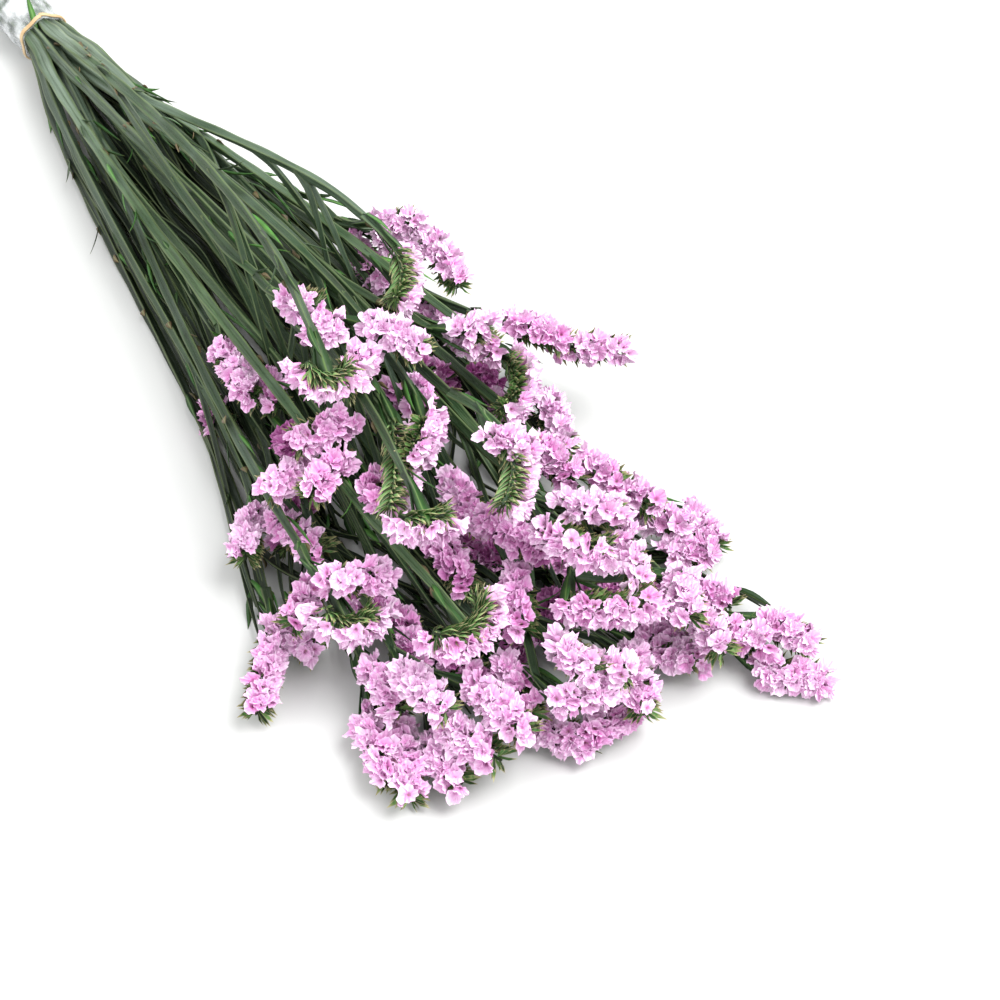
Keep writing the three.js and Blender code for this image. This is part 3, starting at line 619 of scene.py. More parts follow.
class Bunch:
    """All stems, branches, twigs and spikes, before and after they settle."""

    def __init__(self):
        self.points = []
        self.links = []
        self.heads = []
        self.stems = []
        plans = [sorted(map(Head, heads), key=lambda head: head.place[0]) for heads in STEMS]
        slots = choose_slots(plans)
        for k, plan in enumerate(plans):
            self.add_stem(k, plan, slots[k])
        self.settle()

    def add_point(self, *facts):
        point = Point(*facts)
        self.points.append(point)
        return point

    def add_thread(self, points, stem, head=None):
        for a, b in zip(points, points[1:]):
            self.links.append(Link(a, b, stem, head))
        return points

    def add_head(self, stem, head):
        self.heads.append(head)
        head.node = self.add_point(head.place, BRANCH_RADIUS, head)
        head.twigs = []
        for k, spike in enumerate(head.spikes):
            end, end_way = head.ends[k]
            start = head.node if k == 0 else head.twigs[0][1]
            far = size(sub(end, start.place))
            steps = max(2, rounded(far / TWIG_STEP))
            pull = far * PULL_AT_HEAD
            line = curve(start.place, scale(head.way, pull), end, scale(end_way, pull), steps)
            twig = [self.add_point(place, TWIG_RADIUS, head) for place in line[1:]]
            head.twigs.append(self.add_thread([start, *twig], stem, head))
            bends = math.degrees(spike.turn) / ROOM_BEND
            stations = max(1, rounded(spike.long / ROOM_STEP), math.ceil(bends))
            for height, radius in (COMB_ROOM, BLOOM_ROOM):
                row = [self.add_point(place, radius, head) for place in spike.row(stations, height)]
                self.add_thread(row, stem, head)

    def add_stem(self, stem, heads, slot):
        farthest = heads[-1]
        for head in heads:
            self.add_head(stem, head)
        reach = size(sub(farthest.place, slot))
        steps = max(LEAST_STEPS, rounded(reach / STEM_STEP))
        flare = scale((0, slot[1], slot[2] - TIE_HEIGHT), FLARE)
        way_a = scale(unit(add(unit(sub(farthest.place, slot)), flare)), reach * PULL_AT_TIE)
        way_b = scale(farthest.way, reach * PULL_AT_HEAD)
        line = curve(slot, way_a, farthest.place, way_b, steps)
        main = [self.add_point((CUT_END_X, slot[1], slot[2]), STEM_RADIUS, None, True)]
        for k, place in enumerate(line[:-1]):
            radius = STEM_RADIUS * (1 - (STEM_TAPER * k) / steps)
            main.append(self.add_point(place, radius, None, k == 0))
        main.append(farthest.node)
        self.add_thread(main, stem)
        branches = [self.add_branch(stem, main, head) for head in heads[:-1]]
        self.stems.append(Stem(main, branches, heads))

    def add_branch(self, stem, main, head):
        node = head.place
        back = min(FORK_MOST, max(FORK_LEAST, FORK_SHARE * node[0]))
        inner = range(2, len(main) - 1)
        fork = min(inner, key=lambda k: abs(main[k].place[0] - (node[0] - back)))
        start = main[fork].place
        ahead = unit(sub(main[fork + 1].place, main[fork - 1].place))
        far = size(sub(node, start))
        count = max(2, rounded(far / BRANCH_STEP))
        way_in = scale(head.way, far * PULL_AT_HEAD)
        arc = curve(start, scale(ahead, far * PULL_AT_FORK), node, way_in, count)
        middle = [self.add_point(place, BRANCH_RADIUS) for place in arc[1:-1]]
        return self.add_thread([main[fork], *middle, head.node], stem)

    def may_press(self, p, q):
        """A head moves as one body, and so does the end of the branch that carries it."""
        if p.stem != q.stem:
            return True
        if p.head is q.head:
            return False
        for head, link in ((p.head, q), (q.head, p)):
            if head and (link.a is head.node or link.b is head.node):
                return False
        return True

    def pairs(self):
        """Every two links that could come to touch, with the gap that they need."""
        a = np.array([link.a.place for link in self.links], float)
        b = np.array([link.b.place for link in self.links], float)
        middle = (a + b) * 0.5
        way = a - b
        half = np.sqrt(way[:, 0] ** 2 + way[:, 1] ** 2 + way[:, 2] ** 2) / 2
        radius = np.array([link.radius for link in self.links])
        found = []
        for k, p in enumerate(self.links):
            room = half[k] + half[k + 1:] + radius[k] + radius[k + 1:] + REACH
            off = middle[k] - middle[k + 1:]
            near = off[:, 0] ** 2 + off[:, 1] ** 2 + off[:, 2] ** 2 < room * room
            for j in np.nonzero(near)[0]:
                q = self.links[k + 1 + j]
                if self.may_press(p, q):
                    found.append([p.a, p.b, q.a, q.b, p.radius + q.radius + GAP, 0])
        return found

    def press(self, pair, now):
        """Pushes two links apart where they are nearer than they need to be."""
        pa, pb, qa, qb, need, _ = pair
        a, b, c, d = pa.at(), pb.at(), qa.at(), qb.at()
        da = sub(b, a)
        db = sub(d, c)
        w = sub(a, c)
        aa = dot(da, da)
        bb = dot(db, db)
        ab = dot(da, db)
        aw = dot(da, w)
        bw = dot(db, w)
        flat = aa * bb - ab * ab
        s = min(1, max(0, (ab * bw - aw * bb) / flat)) if flat > 1e-6 * aa * bb else 0.5
        t = (ab * s + bw) / bb
        if t < 0:
            t = 0
            s = min(1, max(0, -aw / aa))
        elif t > 1:
            t = 1
            s = min(1, max(0, (ab - aw) / aa))
        way = sub(add(c, scale(db, t)), add(a, scale(da, s)))
        far = size(way)
        if far >= need:
            pair[5] = now + 1 + min(REST_MOST, math.floor(far - need))
            return
        pushes = ((pa, s - 1), (pb, -s), (qa, 1 - t), (qb, t))
        total = 0
        for point, share in pushes:
            total += 0 if point.fixed else share * share
        push = scale(way, (need - far) / max(far, 0.01) / max(total, LEAST_SHARE))
        for point, share in pushes:
            self.move(point, scale(push, share))

    @staticmethod
    def move(point, step):
        """Stems give way freely, and heads mostly in the direction in which they lie stacked."""
        if point.fixed:
            return
        if point.head:
            stacked = scale(STACKING, dot(step, STACKING) * (1 - GIVE_ASIDE))
            step = add(scale(step, GIVE_ASIDE), stacked)
        point.shift[0] += step[0]
        point.shift[1] += step[1]
        point.shift[2] += step[2]

    @staticmethod
    def smooth(thread, share):
        for before, point, after in zip(thread, thread[1:], thread[2:]):
            if not point.fixed:
                for i in range(3):
                    mean = (before.shift[i] + after.shift[i]) * 0.5
                    point.shift[i] += (mean - point.shift[i]) * share

    def settle(self):
        pairs = self.pairs()
        for now in range(PASSES):
            if now < HOMING_PASSES:
                for head in self.heads:
                    head.shift[:] = [v * HOMING for v in head.shift]
            for pair in pairs:
                if pair[5] <= now:
                    self.press(pair, now)
            for point in self.points:
                low = point.place[2] + point.shift[2] - point.radius
                if low < 0:
                    self.move(point, (0, 0, -low))
            share = SMOOTHING if now < PASSES - LAST_PASSES else LAST_SMOOTHING
            for stem in self.stems:
                for thread in (stem.main, *stem.branches):
                    self.smooth(thread, share)
                    self.smooth(thread, share)


def new_mesh(name, places, edges=(), faces=()):
    """A mesh in metres from places in millimetres."""
    mesh = bpy.data.meshes.new(name)
    mesh.from_pydata([(x * MM, y * MM, z * MM) for x, y, z in places], edges, faces)
    mesh.update()
    return mesh


def new_object(name, data):
    """An object in the scene."""
    obj = bpy.data.objects.new(name, data)
    bpy.context.scene.collection.objects.link(obj)
    return obj


def tube_faces(rings):
    """The faces between rings of points. The first and the last ring may be single points."""
    faces = []
    for low, high in zip(rings, rings[1:]):
        count = max(len(low), len(high))
        for i in range(count):
            after = (i + 1) % count
            if len(low) == 1:
                faces.append((low[0], high[i], high[after]))
            elif len(high) == 1:
                faces.append((high[0], low[i], low[after]))
            else:
                faces.append((low[i], low[after], high[after], high[i]))
    return faces


def give(mesh, name, kind, values):
    """Stores one value for each point of a mesh."""
    trait = mesh.attributes.new(name, kind, "POINT")
    key = "vector" if kind == "FLOAT_VECTOR" else "value"
    trait.data.foreach_set(key, np.array(values).ravel())


def give_rows(mesh, names, rows):
    """Stores the columns of rows, one row for each point of a mesh."""
    for name, values in zip(names, zip(*rows)):
        give(mesh, name, "FLOAT", values)


def shed(mesh, names):
    """Removes stored values that no look needs."""
    for name in names:
        if name in mesh.attributes:
            mesh.attributes.remove(mesh.attributes[name])


def node(tree, kind, inputs=None, **settings):
    """A node with its settings, its values, and its links from other nodes' sockets."""
    made = tree.nodes.new(kind)
    for key, value in settings.items():
        setattr(made, key, value)
    for key, value in (inputs or {}).items():
        if isinstance(value, bpy.types.NodeSocket):
            tree.links.new(value, made.inputs[key])
        else:
            made.inputs[key].default_value = value
    return made


def reckon(tree, operation, a, b=None):
    """A sum of one or two numbers, as a node."""
    inputs = {0: a} if b is None else {0: a, 1: b}
    return node(tree, "ShaderNodeMath", inputs, operation=operation).outputs[0]


def times(tree, a, b):
    return reckon(tree, "MULTIPLY", a, b)


def new_tree(name, inputs):
    """A geometry tree with named inputs, and the sockets of its group input."""
    tree = bpy.data.node_groups.new(name, "GeometryNodeTree")
    tree.interface.new_socket("Geometry", in_out="INPUT", socket_type="NodeSocketGeometry")
    for label, kind, value in inputs:
        socket = tree.interface.new_socket(label, in_out="INPUT", socket_type=kind)
        if value is not None:
            socket.default_value = value
    tree.interface.new_socket("Geometry", in_out="OUTPUT", socket_type="NodeSocketGeometry")
    return tree, node(tree, "NodeGroupInput").outputs


def close_tree(tree, geometry, material):
    """Ends a tree: its instances made real and its material set."""
    real = node(tree, "GeometryNodeRealizeInstances", {"Geometry": geometry}).outputs[0]
    clad = node(tree, "GeometryNodeSetMaterial", {"Geometry": real, "Material": material})
    node(tree, "NodeGroupOutput", {0: clad.outputs[0]})


def trait_of(tree, name, kind="FLOAT"):
    """A stored value of the points that a tree works on."""
    found = node(tree, "GeometryNodeInputNamedAttribute", {"Name": name}, data_type=kind)
    return found.outputs["Attribute"]


def run_tree(tree, mesh, values):
    """The plain mesh that a tree makes from a mesh, with its inputs set by their labels."""
    obj = new_object(mesh.name, mesh)
    modifier = obj.modifiers.new("grow", "NODES")
    modifier.node_group = tree
    for item in tree.interface.items_tree:
        if item.in_out == "INPUT" and item.name in values:
            modifier[item.identifier] = values[item.name]
    seen = obj.evaluated_get(bpy.context.evaluated_depsgraph_get())
    made = bpy.data.meshes.new_from_object(seen)
    obj.modifiers.clear()
    bpy.data.objects.remove(obj)
    bpy.data.meshes.remove(mesh)
    return made


def winged_stem_tree():
    """Sweeps a section with wings along every line, as thick as its points say."""
    tree, given = new_tree("winged_stems", (
        ("Wings", "NodeSocketFloat", 3.0),
        ("Valley", "NodeSocketFloat", WING_VALLEY),
        ("Sharpness", "NodeSocketFloat", WING_SHARPNESS),
        ("Section Points", "NodeSocketInt", SECTION_POINTS),
        ("Material", "NodeSocketMaterial", None),
    ))
    line = node(tree, "GeometryNodeMeshToCurve", {"Mesh": given["Geometry"]}).outputs[0]
    spin = trait_of(tree, "spin")
    line = node(tree, "GeometryNodeSetCurveTilt", {"Curve": line, "Tilt": spin}).outputs[0]
    circle = node(tree, "GeometryNodeCurvePrimitiveCircle",
                  {"Resolution": given["Section Points"], "Radius": 1.0}).outputs[0]
    place = node(tree, "GeometryNodeInputPosition").outputs[0]
    apart = node(tree, "ShaderNodeSeparateXYZ", {0: place}).outputs
    angle = reckon(tree, "ARCTAN2", apart[1], apart[0])
    wave = reckon(tree, "COSINE", times(tree, angle, given["Wings"]))
    crest = times(tree, reckon(tree, "ADD", wave, 1.0), 0.5)
    crest = reckon(tree, "MAXIMUM", crest, 0.0)
    rise = reckon(tree, "POWER", crest, given["Sharpness"])
    reach = times(tree, rise, reckon(tree, "SUBTRACT", 1.0, given["Valley"]))
    reach = reckon(tree, "ADD", reach, given["Valley"])
    shaped = node(tree, "ShaderNodeVectorMath", {0: place, "Scale": reach}, operation="SCALE")
    marked = node(tree, "GeometryNodeStoreNamedAttribute",
                  {"Geometry": circle, "Name": "edge", "Value": crest}).outputs[0]
    marked = node(tree, "GeometryNodeStoreNamedAttribute",
                  {"Geometry": marked, "Name": "turn", "Value": angle}).outputs[0]
    section = node(tree, "GeometryNodeSetPosition",
                   {"Geometry": marked, "Position": shaped.outputs[0]}).outputs[0]
    swept = node(tree, "GeometryNodeCurveToMesh", {
        "Curve": line, "Profile Curve": section, "Scale": trait_of(tree, "girth"), "Fill Caps": True,
    }).outputs[0]
    close_tree(tree, swept, given["Material"])
    return tree


def scatter_tree():
    """Sets one of a collection's shapes on every point, turned and grown as the point says."""
    tree, given = new_tree("scattered", (
        ("Shapes", "NodeSocketCollection", None),
        ("Material", "NodeSocketMaterial", None),
    ))
    shapes = node(tree, "GeometryNodeCollectionInfo", {
        "Collection": given["Shapes"], "Separate Children": True, "Reset Children": True,
    }).outputs[0]
    turned = node(tree, "FunctionNodeEulerToRotation",
                  {0: trait_of(tree, "lay", "FLOAT_VECTOR")}).outputs[0]
    placed = node(tree, "GeometryNodeInstanceOnPoints", {
        "Points": given["Geometry"], "Instance": shapes, "Pick Instance": True,
        "Instance Index": trait_of(tree, "sort", "INT"), "Rotation": turned,
        "Scale": trait_of(tree, "grow"),
    }).outputs[0]
    close_tree(tree, placed, given["Material"])
    return tree


def lifted(mesh):
    """Presses what would lie below the surface flat just above it."""
    places = np.empty(3 * len(mesh.vertices))
    mesh.vertices.foreach_get("co", places)
    heights = places.reshape(-1, 3)[:, 2]
    room = (SOFT_GROUND - GROUND) * MM
    low = heights < SOFT_GROUND * MM
    heights[low] = GROUND * MM + room * np.exp((heights[low] - SOFT_GROUND * MM) / room)
    mesh.vertices.foreach_set("co", places)
    mesh.update()
    return mesh


def random_way(rng):
    return Vector((rng.uniform(-1, 1), rng.uniform(-1, 1), rng.uniform(-1, 1)))


def random_side(rng, way):
    """A random direction square to a way."""
    return random_way(rng).cross(way).normalized()


def calyx_shape(rng):
    """A papery funnel with five lobes and a pleated rim, hollow down to its throat."""
    places = []
    rows = []
    rings = []
    squash = rng.uniform(*CALYX_SQUASH)
    warp = rng.uniform(*CALYX_WARP)
    turn = rng.uniform(*ANY_TURN)
    bulge = rng.uniform(*ANY_TURN)
    for count, radius, rise, level, ruffle in CALYX_RINGS:
        rings.append(range(len(places), len(places) + count))
        for k in range(count):
            a = 2 * math.pi * (k + rng.uniform(-CHANCE_TURN, CHANCE_TURN) * ruffle) / count
            lobe = math.cos(CALYX_LOBES * a)
            fold = (1 if k % 2 else -1) * ruffle
            waved = LOBE_OUT * lobe + BULGE_OUT * math.sin(BULGES * a + bulge)
            waved += rng.uniform(-CHANCE_OUT, CHANCE_OUT)
            out = radius * (1 + ruffle * waved + PLEAT_OUT * fold)
            up = rise + ruffle * (LOBE_UP * lobe + rng.uniform(-CHANCE_UP, CHANCE_UP)) - PLEAT_UP * fold
            up += ruffle * warp * math.sin(CALYX_WARPS * a + turn)
            places.append((out * math.cos(a) * squash, out * math.sin(a), up))
            rows.append((level, 0.5 + 0.5 * fold))
    faces = [rings[0]]
    for inner, outer in zip(rings, rings[1:]):
        few, many = (inner, outer) if len(inner) < len(outer) else (outer, inner)
        for k, here in enumerate(few):
            after = few[(k + 1) % len(few)]
            before = many[2 * k - 1]
            middle = many[2 * k]
            beyond = many[2 * k + 1]
            faces += [(here, before, middle), (here, middle, beyond), (here, beyond, after)]
    faces.append(rings[-1])
    mesh = new_mesh("calyx", places, faces=faces)
    give_rows(mesh, ("depth", "pleat"), rows)
    return mesh


def bract_shape(rng):
    """A narrow pointed blade with a keel on its outer side."""
    places = [(0, 0, -1)]
    rows = [(0, 0)]
    for share, width in BRACT_RINGS:
        half = width * rng.uniform(*BRACT_WIDTHS)
        rise = BRACT_LONG * share
        bow = BRACT_BOW * math.sin(math.pi * share) + rng.uniform(*BRACT_BOWS)
        for side, out, edge in BRACT_SECTION:
            places.append((side * half, bow + out, rise))
            rows.append((share, edge))
    places.append((rng.uniform(*BRACT_TIP_X), rng.uniform(*BRACT_TIP_Y), BRACT_LONG))
    rows.append((1, 1))
    faces = []
    last = len(places) - 1
    for k in range(4):
        after = (k + 1) % 4
        faces.append((0, 1 + k, 1 + after))
        for ring in range(len(BRACT_RINGS) - 1):
            low = 1 + 4 * ring
            faces.append((low + k, low + 4 + k, low + 4 + after, low + after))
        low = last - 4
        faces.append((low + after, low + k, last))
    mesh = new_mesh("bract", places, faces=faces)
    give_rows(mesh, ("depth", "edge"), rows)
    return mesh


def outward(mesh):
    """Turns the faces of a closed mesh outwards."""
    bm = bmesh.new()
    bm.from_mesh(mesh)
    bmesh.ops.recalc_face_normals(bm, faces=bm.faces)
    bm.to_mesh(mesh)
    bm.free()
    return mesh


def shape_kinds(name, count, shape, seed):
    """A collection of variants of one shape, in the order of their names."""
    rng = random.Random(seed)
    kinds = bpy.data.collections.new(name)
    for k in range(count):
        kinds.objects.link(bpy.data.objects.new(f"{name}_{k:02d}", outward(shape(rng))))
    return kinds


class Scatter:
    """Points on which shapes are set, each with its own turn, growth, kind and tone."""

    def __init__(self):
        self.rows = []

    def add(self, place, along, side, grow, kind, tone):
        """The shape's Z goes along, and its Y to the side."""
        z = along.normalized()
        x = side.cross(z).normalized()
        y = z.cross(x)
        lay = Matrix((x, y, z)).transposed().to_euler()
        self.rows.append((tuple(place), tuple(lay), grow, kind, tone))

    def grown(self, name, tree, kinds, material):
        places, lays, grows, sorts, tones = zip(*self.rows)
        mesh = new_mesh(name, places)
        give(mesh, "lay", "FLOAT_VECTOR", lays)
        give(mesh, "grow", "FLOAT", grows)
        give(mesh, "sort", "INT", sorts)
        give(mesh, "tone", "FLOAT", tones)
        made = run_tree(tree, mesh, {"Shapes": kinds, "Material": material})
        shed(made, ("lay", "grow", "sort"))
        return lifted(made)


class Threads:
    """Lines that are swept into winged stems."""

    def __init__(self):
        self.places = []
        self.edges = []
        self.rows = []

    def add(self, path, spin, twist, tone):
        """Adds a path of x, y, z and radius that starts at a spin and turns by twist a metre."""
        first = len(self.places)
        along = 0.0
        for k, (x, y, z, radius) in enumerate(path):
            if k:
                along += math.dist(path[k - 1][:3], (x, y, z)) * MM
                self.edges.append((first + k - 1, first + k))
            self.places.append((x, y, z))
            wave = 1 + WING_WAVE * math.sin(along * WING_WAVES + WING_WAVE_START * spin)
            self.rows.append((radius * WING_REACH * wave * MM, spin + twist * along, tone, along))

    def sweep(self, rng, path, twist, most_tone=1.0):
        """Adds a path with a random spin, twist and tone."""
        self.add(path, rng.uniform(*ANY_TURN), rng.uniform(-twist, twist), rng.random() * most_tone)

    def grown(self, name, tree, material):
        mesh = new_mesh(name, self.places, self.edges)
        give_rows(mesh, ("girth", "spin", "tone", "along"), self.rows)
        made = run_tree(tree, mesh, {"Material": material})
        shed(made, ("girth", "spin", "tilt", "radius"))
        made.shade_smooth()
        return lifted(made)


def fine_path(line, radii):
    """The smooth curve through the points of a line, in short steps, with its radius."""
    knots = [np.array((*place, radius)) for place, radius in zip(line, radii)]
    knots = [2 * knots[0] - knots[1], *knots, 2 * knots[-1] - knots[-2]]
    path = []
    for a, b, c, d in zip(knots, knots[1:], knots[2:], knots[3:]):
        count = max(1, rounded(math.dist(b[:3], c[:3]) / PATH_STEP))
        for k in range(count):
            t = k / count
            bend = (c - a) * t + (2 * a - 5 * b + 4 * c - d) * t ** 2
            path.append(b + 0.5 * (bend + (3 * b - a - 3 * c + d) * t ** 3))
    path.append(knots[-2])
    return [tuple(map(float, knot)) for knot in path]


def tapered(line, radius):
    """The smooth curve through a line that thins towards its tip."""
    last = len(line) - 1
    return fine_path(line, [radius * (1 - TIP_TAPER * (j / last) ** 2) for j in range(last + 1)])


class Blades:
    """Narrow leaves: folded along the midrib, bent along their length, and closed all round."""

    def __init__(self):
        self.places = []
        self.faces = []
        self.rows = []

    def add(self, root, way, up, long, half, bend, tone, widths=LEAF_WIDTHS):
        way = way.normalized()
        aside = way.cross(up).normalized()
        up = aside.cross(way).normalized()
        last = len(widths) - 1
        place = Vector(root)
        rings = []
        for k, share in enumerate(widths):
            angle = math.radians(bend) * k / last
            ahead = way * math.cos(angle) + up * math.sin(angle)
            over = up * math.cos(angle) - way * math.sin(angle)
            if k:
                place = place + ahead * (long / last)
            wide = half * share
            thick = LEAF_THICK * (LEAF_THIN + (1 - LEAF_THIN) * share)
            rings.append(range(len(self.places), len(self.places) + 4))
            for out, rise, edge in ((-wide, wide * LEAF_FOLD, 1), (0, thick, 0),
                                    (wide, wide * LEAF_FOLD, 1), (0, -thick, 0)):
                self.places.append(tuple(place + aside * out + over * rise))
                self.rows.append((edge, tone, k / last))
        self.faces += [*tube_faces(rings), rings[0][::-1], rings[-1]]

    def grown(self, name, material):
        mesh = new_mesh(name, self.places, faces=self.faces)
        give_rows(mesh, ("edge", "tone", "depth"), self.rows)
        mesh.materials.append(material)
        outward(mesh)
        mesh.shade_smooth()
        return lifted(mesh)


def colour_of(code):
    """The linear colour of a code such as d8a0c8."""
    shares = [int(code[k:k + 2], 16) / 255 for k in (0, 2, 4)]
    return (*(s / 12.92 if s < 0.04045 else ((s + 0.055) / 1.055) ** 2.4 for s in shares), 1)


def new_look(name, **constants):
    """A material, its tree and its shader, with what is the same all over set on the shader."""
    look = bpy.data.materials.new(name)
    look.use_nodes = True
    shader = look.node_tree.nodes["Principled BSDF"]
    for key, value in constants.items():
        shader.inputs[key.replace("_", " ")].default_value = value
    return look, look.node_tree, shader


def trait_in(tree, name):
    return node(tree, "ShaderNodeAttribute", attribute_name=name).outputs["Fac"]


def ramp(tree, factor, stops):
    """A row of colours that the factor runs through."""
    made = node(tree, "ShaderNodeValToRGB", {"Fac": factor})
    steps = made.color_ramp.elements
    while len(steps) < len(stops):
        steps.new(1.0)
    for step, (place, code) in zip(steps, stops):
        step.position = place
        step.color = colour_of(code)
    return made.outputs["Color"]


def mixed(tree, factor, a, b):
    return node(tree, "ShaderNodeMix", {0: factor, 6: a, 7: b}, data_type="RGBA").outputs[2]


def tinted(tree, factor, body, code):
    return mixed(tree, factor, body, colour_of(code))


def noise(tree, vector, fine, detail=3.0):
    inputs = {"Vector": vector, "Scale": fine, "Detail": detail}
    return node(tree, "ShaderNodeTexNoise", inputs).outputs["Fac"]


def spread(tree, value, low, high, least=0.0, most=1.0):
    """A value stretched so that low becomes the least and high the most."""
    inputs = {0: value, 1: low, 2: high, 3: least, 4: most}
    return node(tree, "ShaderNodeMapRange", inputs).outputs[0]


def clothe(tree, shader, body, height, strength, deep):
    """Gives a shader its colour and its bumps."""
    tree.links.new(body, shader.inputs["Base Color"])
    inputs = {"Height": height, "Strength": strength, "Distance": deep}
    bump = node(tree, "ShaderNodeBump", inputs).outputs["Normal"]
    tree.links.new(bump, shader.inputs["Normal"])


def place_in(tree):
    return node(tree, "ShaderNodeTexCoord").outputs["Object"]


def calyx_look():
    """Papery pink: pale at the rim, with painted shade deep in the funnel, in the inward folds and on
    spikes that lie under others, and olive in the throat.
    """
    look, tree, shader = new_look("papery_calyx", Roughness=0.7, Specular_IOR_Level=0.25)
    depth = trait_in(tree, "depth")
    tone = trait_in(tree, "tone")
    fold = trait_in(tree, "pleat")
    here = place_in(tree)
    # Each ramp darkens down the funnel to the throat: partly the calyx's own olive throat, partly
    # painted shade deep in the funnel.
    deep = ramp(tree, depth, ((0.0, "4e2a30"), (0.1, "6f3460"), (0.4, "9a4d8a"), (0.75, "b568a4"),
                              (1.0, "cb8cbd")))
    shade = ramp(tree, depth, ((0.0, "75433f"), (0.1, "a8568c"), (0.4, "dc8ec9"), (0.75, "e9acdd"),
                               (1.0, "f6d0f0")))
    pale = ramp(tree, depth, ((0.0, "8a6a4c"), (0.1, "cf8ebe"), (0.4, "eec0e7"), (1.0, "fce8fa")))
    # Painted shade: the lowest tones, which spikes lying under others get, take the deep colours.
    body = mixed(tree, spread(tree, tone, 0.0, SHADED_TONE), deep, shade)
    body = mixed(tree, spread(tree, tone, SHADED_TONE, 1.0), body, pale)
    mottle = spread(tree, noise(tree, here, 560.0), 0.38, 0.66)
    whiter = times(tree, mottle, times(tree, tone, 0.42))
    body = tinted(tree, whiter, body, "fff3fc")
    # Painted shade in the creases: the inward folds of the pleats are deeper magenta.
    crease = times(tree, reckon(tree, "SUBTRACT", 1.0, fold), 0.34)
    body = tinted(tree, crease, body, "b454a0")
    clothe(tree, shader, body, noise(tree, here, 900.0), 0.4, 0.0004)
    return look


def stem_look():
    """Dried green stem: dark and streaked, with paler wing edges, grey bloom in patches, painted sheen
    on its tops near the tie, and painted shade low down.
    """
    look, tree, shader = new_look("winged_stem", Specular_IOR_Level=0.36)
    edge = trait_in(tree, "edge")
    tone = trait_in(tree, "tone")
    here = place_in(tree)
    along = times(tree, trait_in(tree, "along"), 45.0)
    turn = times(tree, trait_in(tree, "turn"), 3.5)
    grain = node(tree, "ShaderNodeCombineXYZ", {0: along, 1: turn, 2: times(tree, tone, 60.0)})
    streak = noise(tree, grain.outputs[0], 1.0, 5.0)
    dark = ramp(tree, streak, ((0.3, "0c160a"), (0.5, "1b2e14"), (0.75, "375127")))
    light = ramp(tree, streak, ((0.3, "24381e"), (0.7, "536e45")))
    body = mixed(tree, spread(tree, tone, 0.1, 1.0), dark, light)
    patch = spread(tree, noise(tree, here, 28.0), 0.42, 0.72)
    body = tinted(tree, patch, body, "1c3a19")
    bloom = times(tree, spread(tree, noise(tree, here, 17.0), 0.5, 0.72), 0.5)
    body = tinted(tree, bloom, body, "66796a")
    # Paler grey-green on the tops of the stems near the tie: partly grey bloom, partly painted sheen,
    # as it grows with height.
    ahead, _, height = node(tree, "ShaderNodeSeparateXYZ", {0: here}).outputs
    near = times(tree, spread(tree, ahead, 0.2, 0.03), spread(tree, height, 0.01, 0.026))
    pale = times(tree, near, spread(tree, noise(tree, grain.outputs[0], 0.35), 0.35, 0.62))
    body = tinted(tree, times(tree, pale, 0.6), body, "8fa090")
    # Painted shade: stems turn near-black low down, near the ground and in the gaps under the bunch.
    below = reckon(tree, "SUBTRACT", 1.0, spread(tree, height, *SHADED_HEIGHT))
    body = tinted(tree, times(tree, below, 0.8), body, "0a1208")
    rim = times(tree, spread(tree, edge, 0.78, 1.0), 0.45)
    body = tinted(tree, rim, body, "7c8c5a")
    tree.links.new(spread(tree, streak, 0.3, 0.7, 0.4, 0.62), shader.inputs["Roughness"])
    clothe(tree, shader, body, streak, 0.7, 0.0008)
    return look


def leaf_look():
    """Fresh green leaf with a pale midrib, or a dry scale where the tone is highest."""
    look, tree, shader = new_look("narrow_leaf", Roughness=0.5, Specular_IOR_Level=0.4)
    edge = trait_in(tree, "edge")
    tone = trait_in(tree, "tone")
    here = place_in(tree)
    body = ramp(tree, tone, ((0.0, "192c13"), (0.3, "234519"), (0.6, "366728"), (0.85, "548c3c"),
                             (0.92, "55472f"), (1.0, "7d6b4e")))
    shade = times(tree, spread(tree, noise(tree, here, 160.0), 0.4, 0.75), 0.5)
    body = tinted(tree, shade, body, "22341a")
    rib = times(tree, reckon(tree, "SUBTRACT", 0.25, edge), 1.6)
    body = tinted(tree, reckon(tree, "MAXIMUM", rib, 0.0), body, "7d9a52")
    tip = times(tree, spread(tree, trait_in(tree, "depth"), 0.85, 1.0), 0.5)
    body = tinted(tree, tip, body, "7c8248")
    clothe(tree, shader, body, noise(tree, here, 700.0), 0.3, 0.0004)
    return look


def bract_look():
    """Narrow green bract with pale dry margins and a straw-coloured tip."""
    look, tree, shader = new_look("comb_bract", Roughness=0.55, Specular_IOR_Level=0.4)
    depth = trait_in(tree, "depth")
    tone = trait_in(tree, "tone")
    edge = trait_in(tree, "edge")
    here = place_in(tree)
    green = ramp(tree, tone, ((0.0, "1b3415"), (0.4, "335c28"), (0.75, "527f40"), (1.0, "7a9f5c")))
    dry = ramp(tree, noise(tree, here, 300.0), ((0.3, "a3945e"), (0.7, "d2c8a0")))
    margin = times(tree, spread(tree, edge, 0.6, 1.0), 0.55)
    body = mixed(tree, margin, green, dry)
    tip = spread(tree, reckon(tree, "ADD", depth, times(tree, tone, 0.15)), 0.75, 1.1)
    body = mixed(tree, tip, body, dry)
    clothe(tree, shader, body, noise(tree, here, 800.0), 0.3, 0.0004)
    return look


def rubber_look():
    """Tan rubber, a little dusty."""
    look, tree, shader = new_look("tan_rubber", Specular_IOR_Level=0.4)
    here = place_in(tree)
    speck = noise(tree, here, 500.0)
    body = ramp(tree, noise(tree, here, 90.0), ((0.3, "b3946a"), (0.7, "d8c09a")))
    tree.links.new(spread(tree, speck, 0.3, 0.7, 0.45, 0.7), shader.inputs["Roughness"])
    clothe(tree, shader, body, speck, 0.3, 0.0003)
    return look


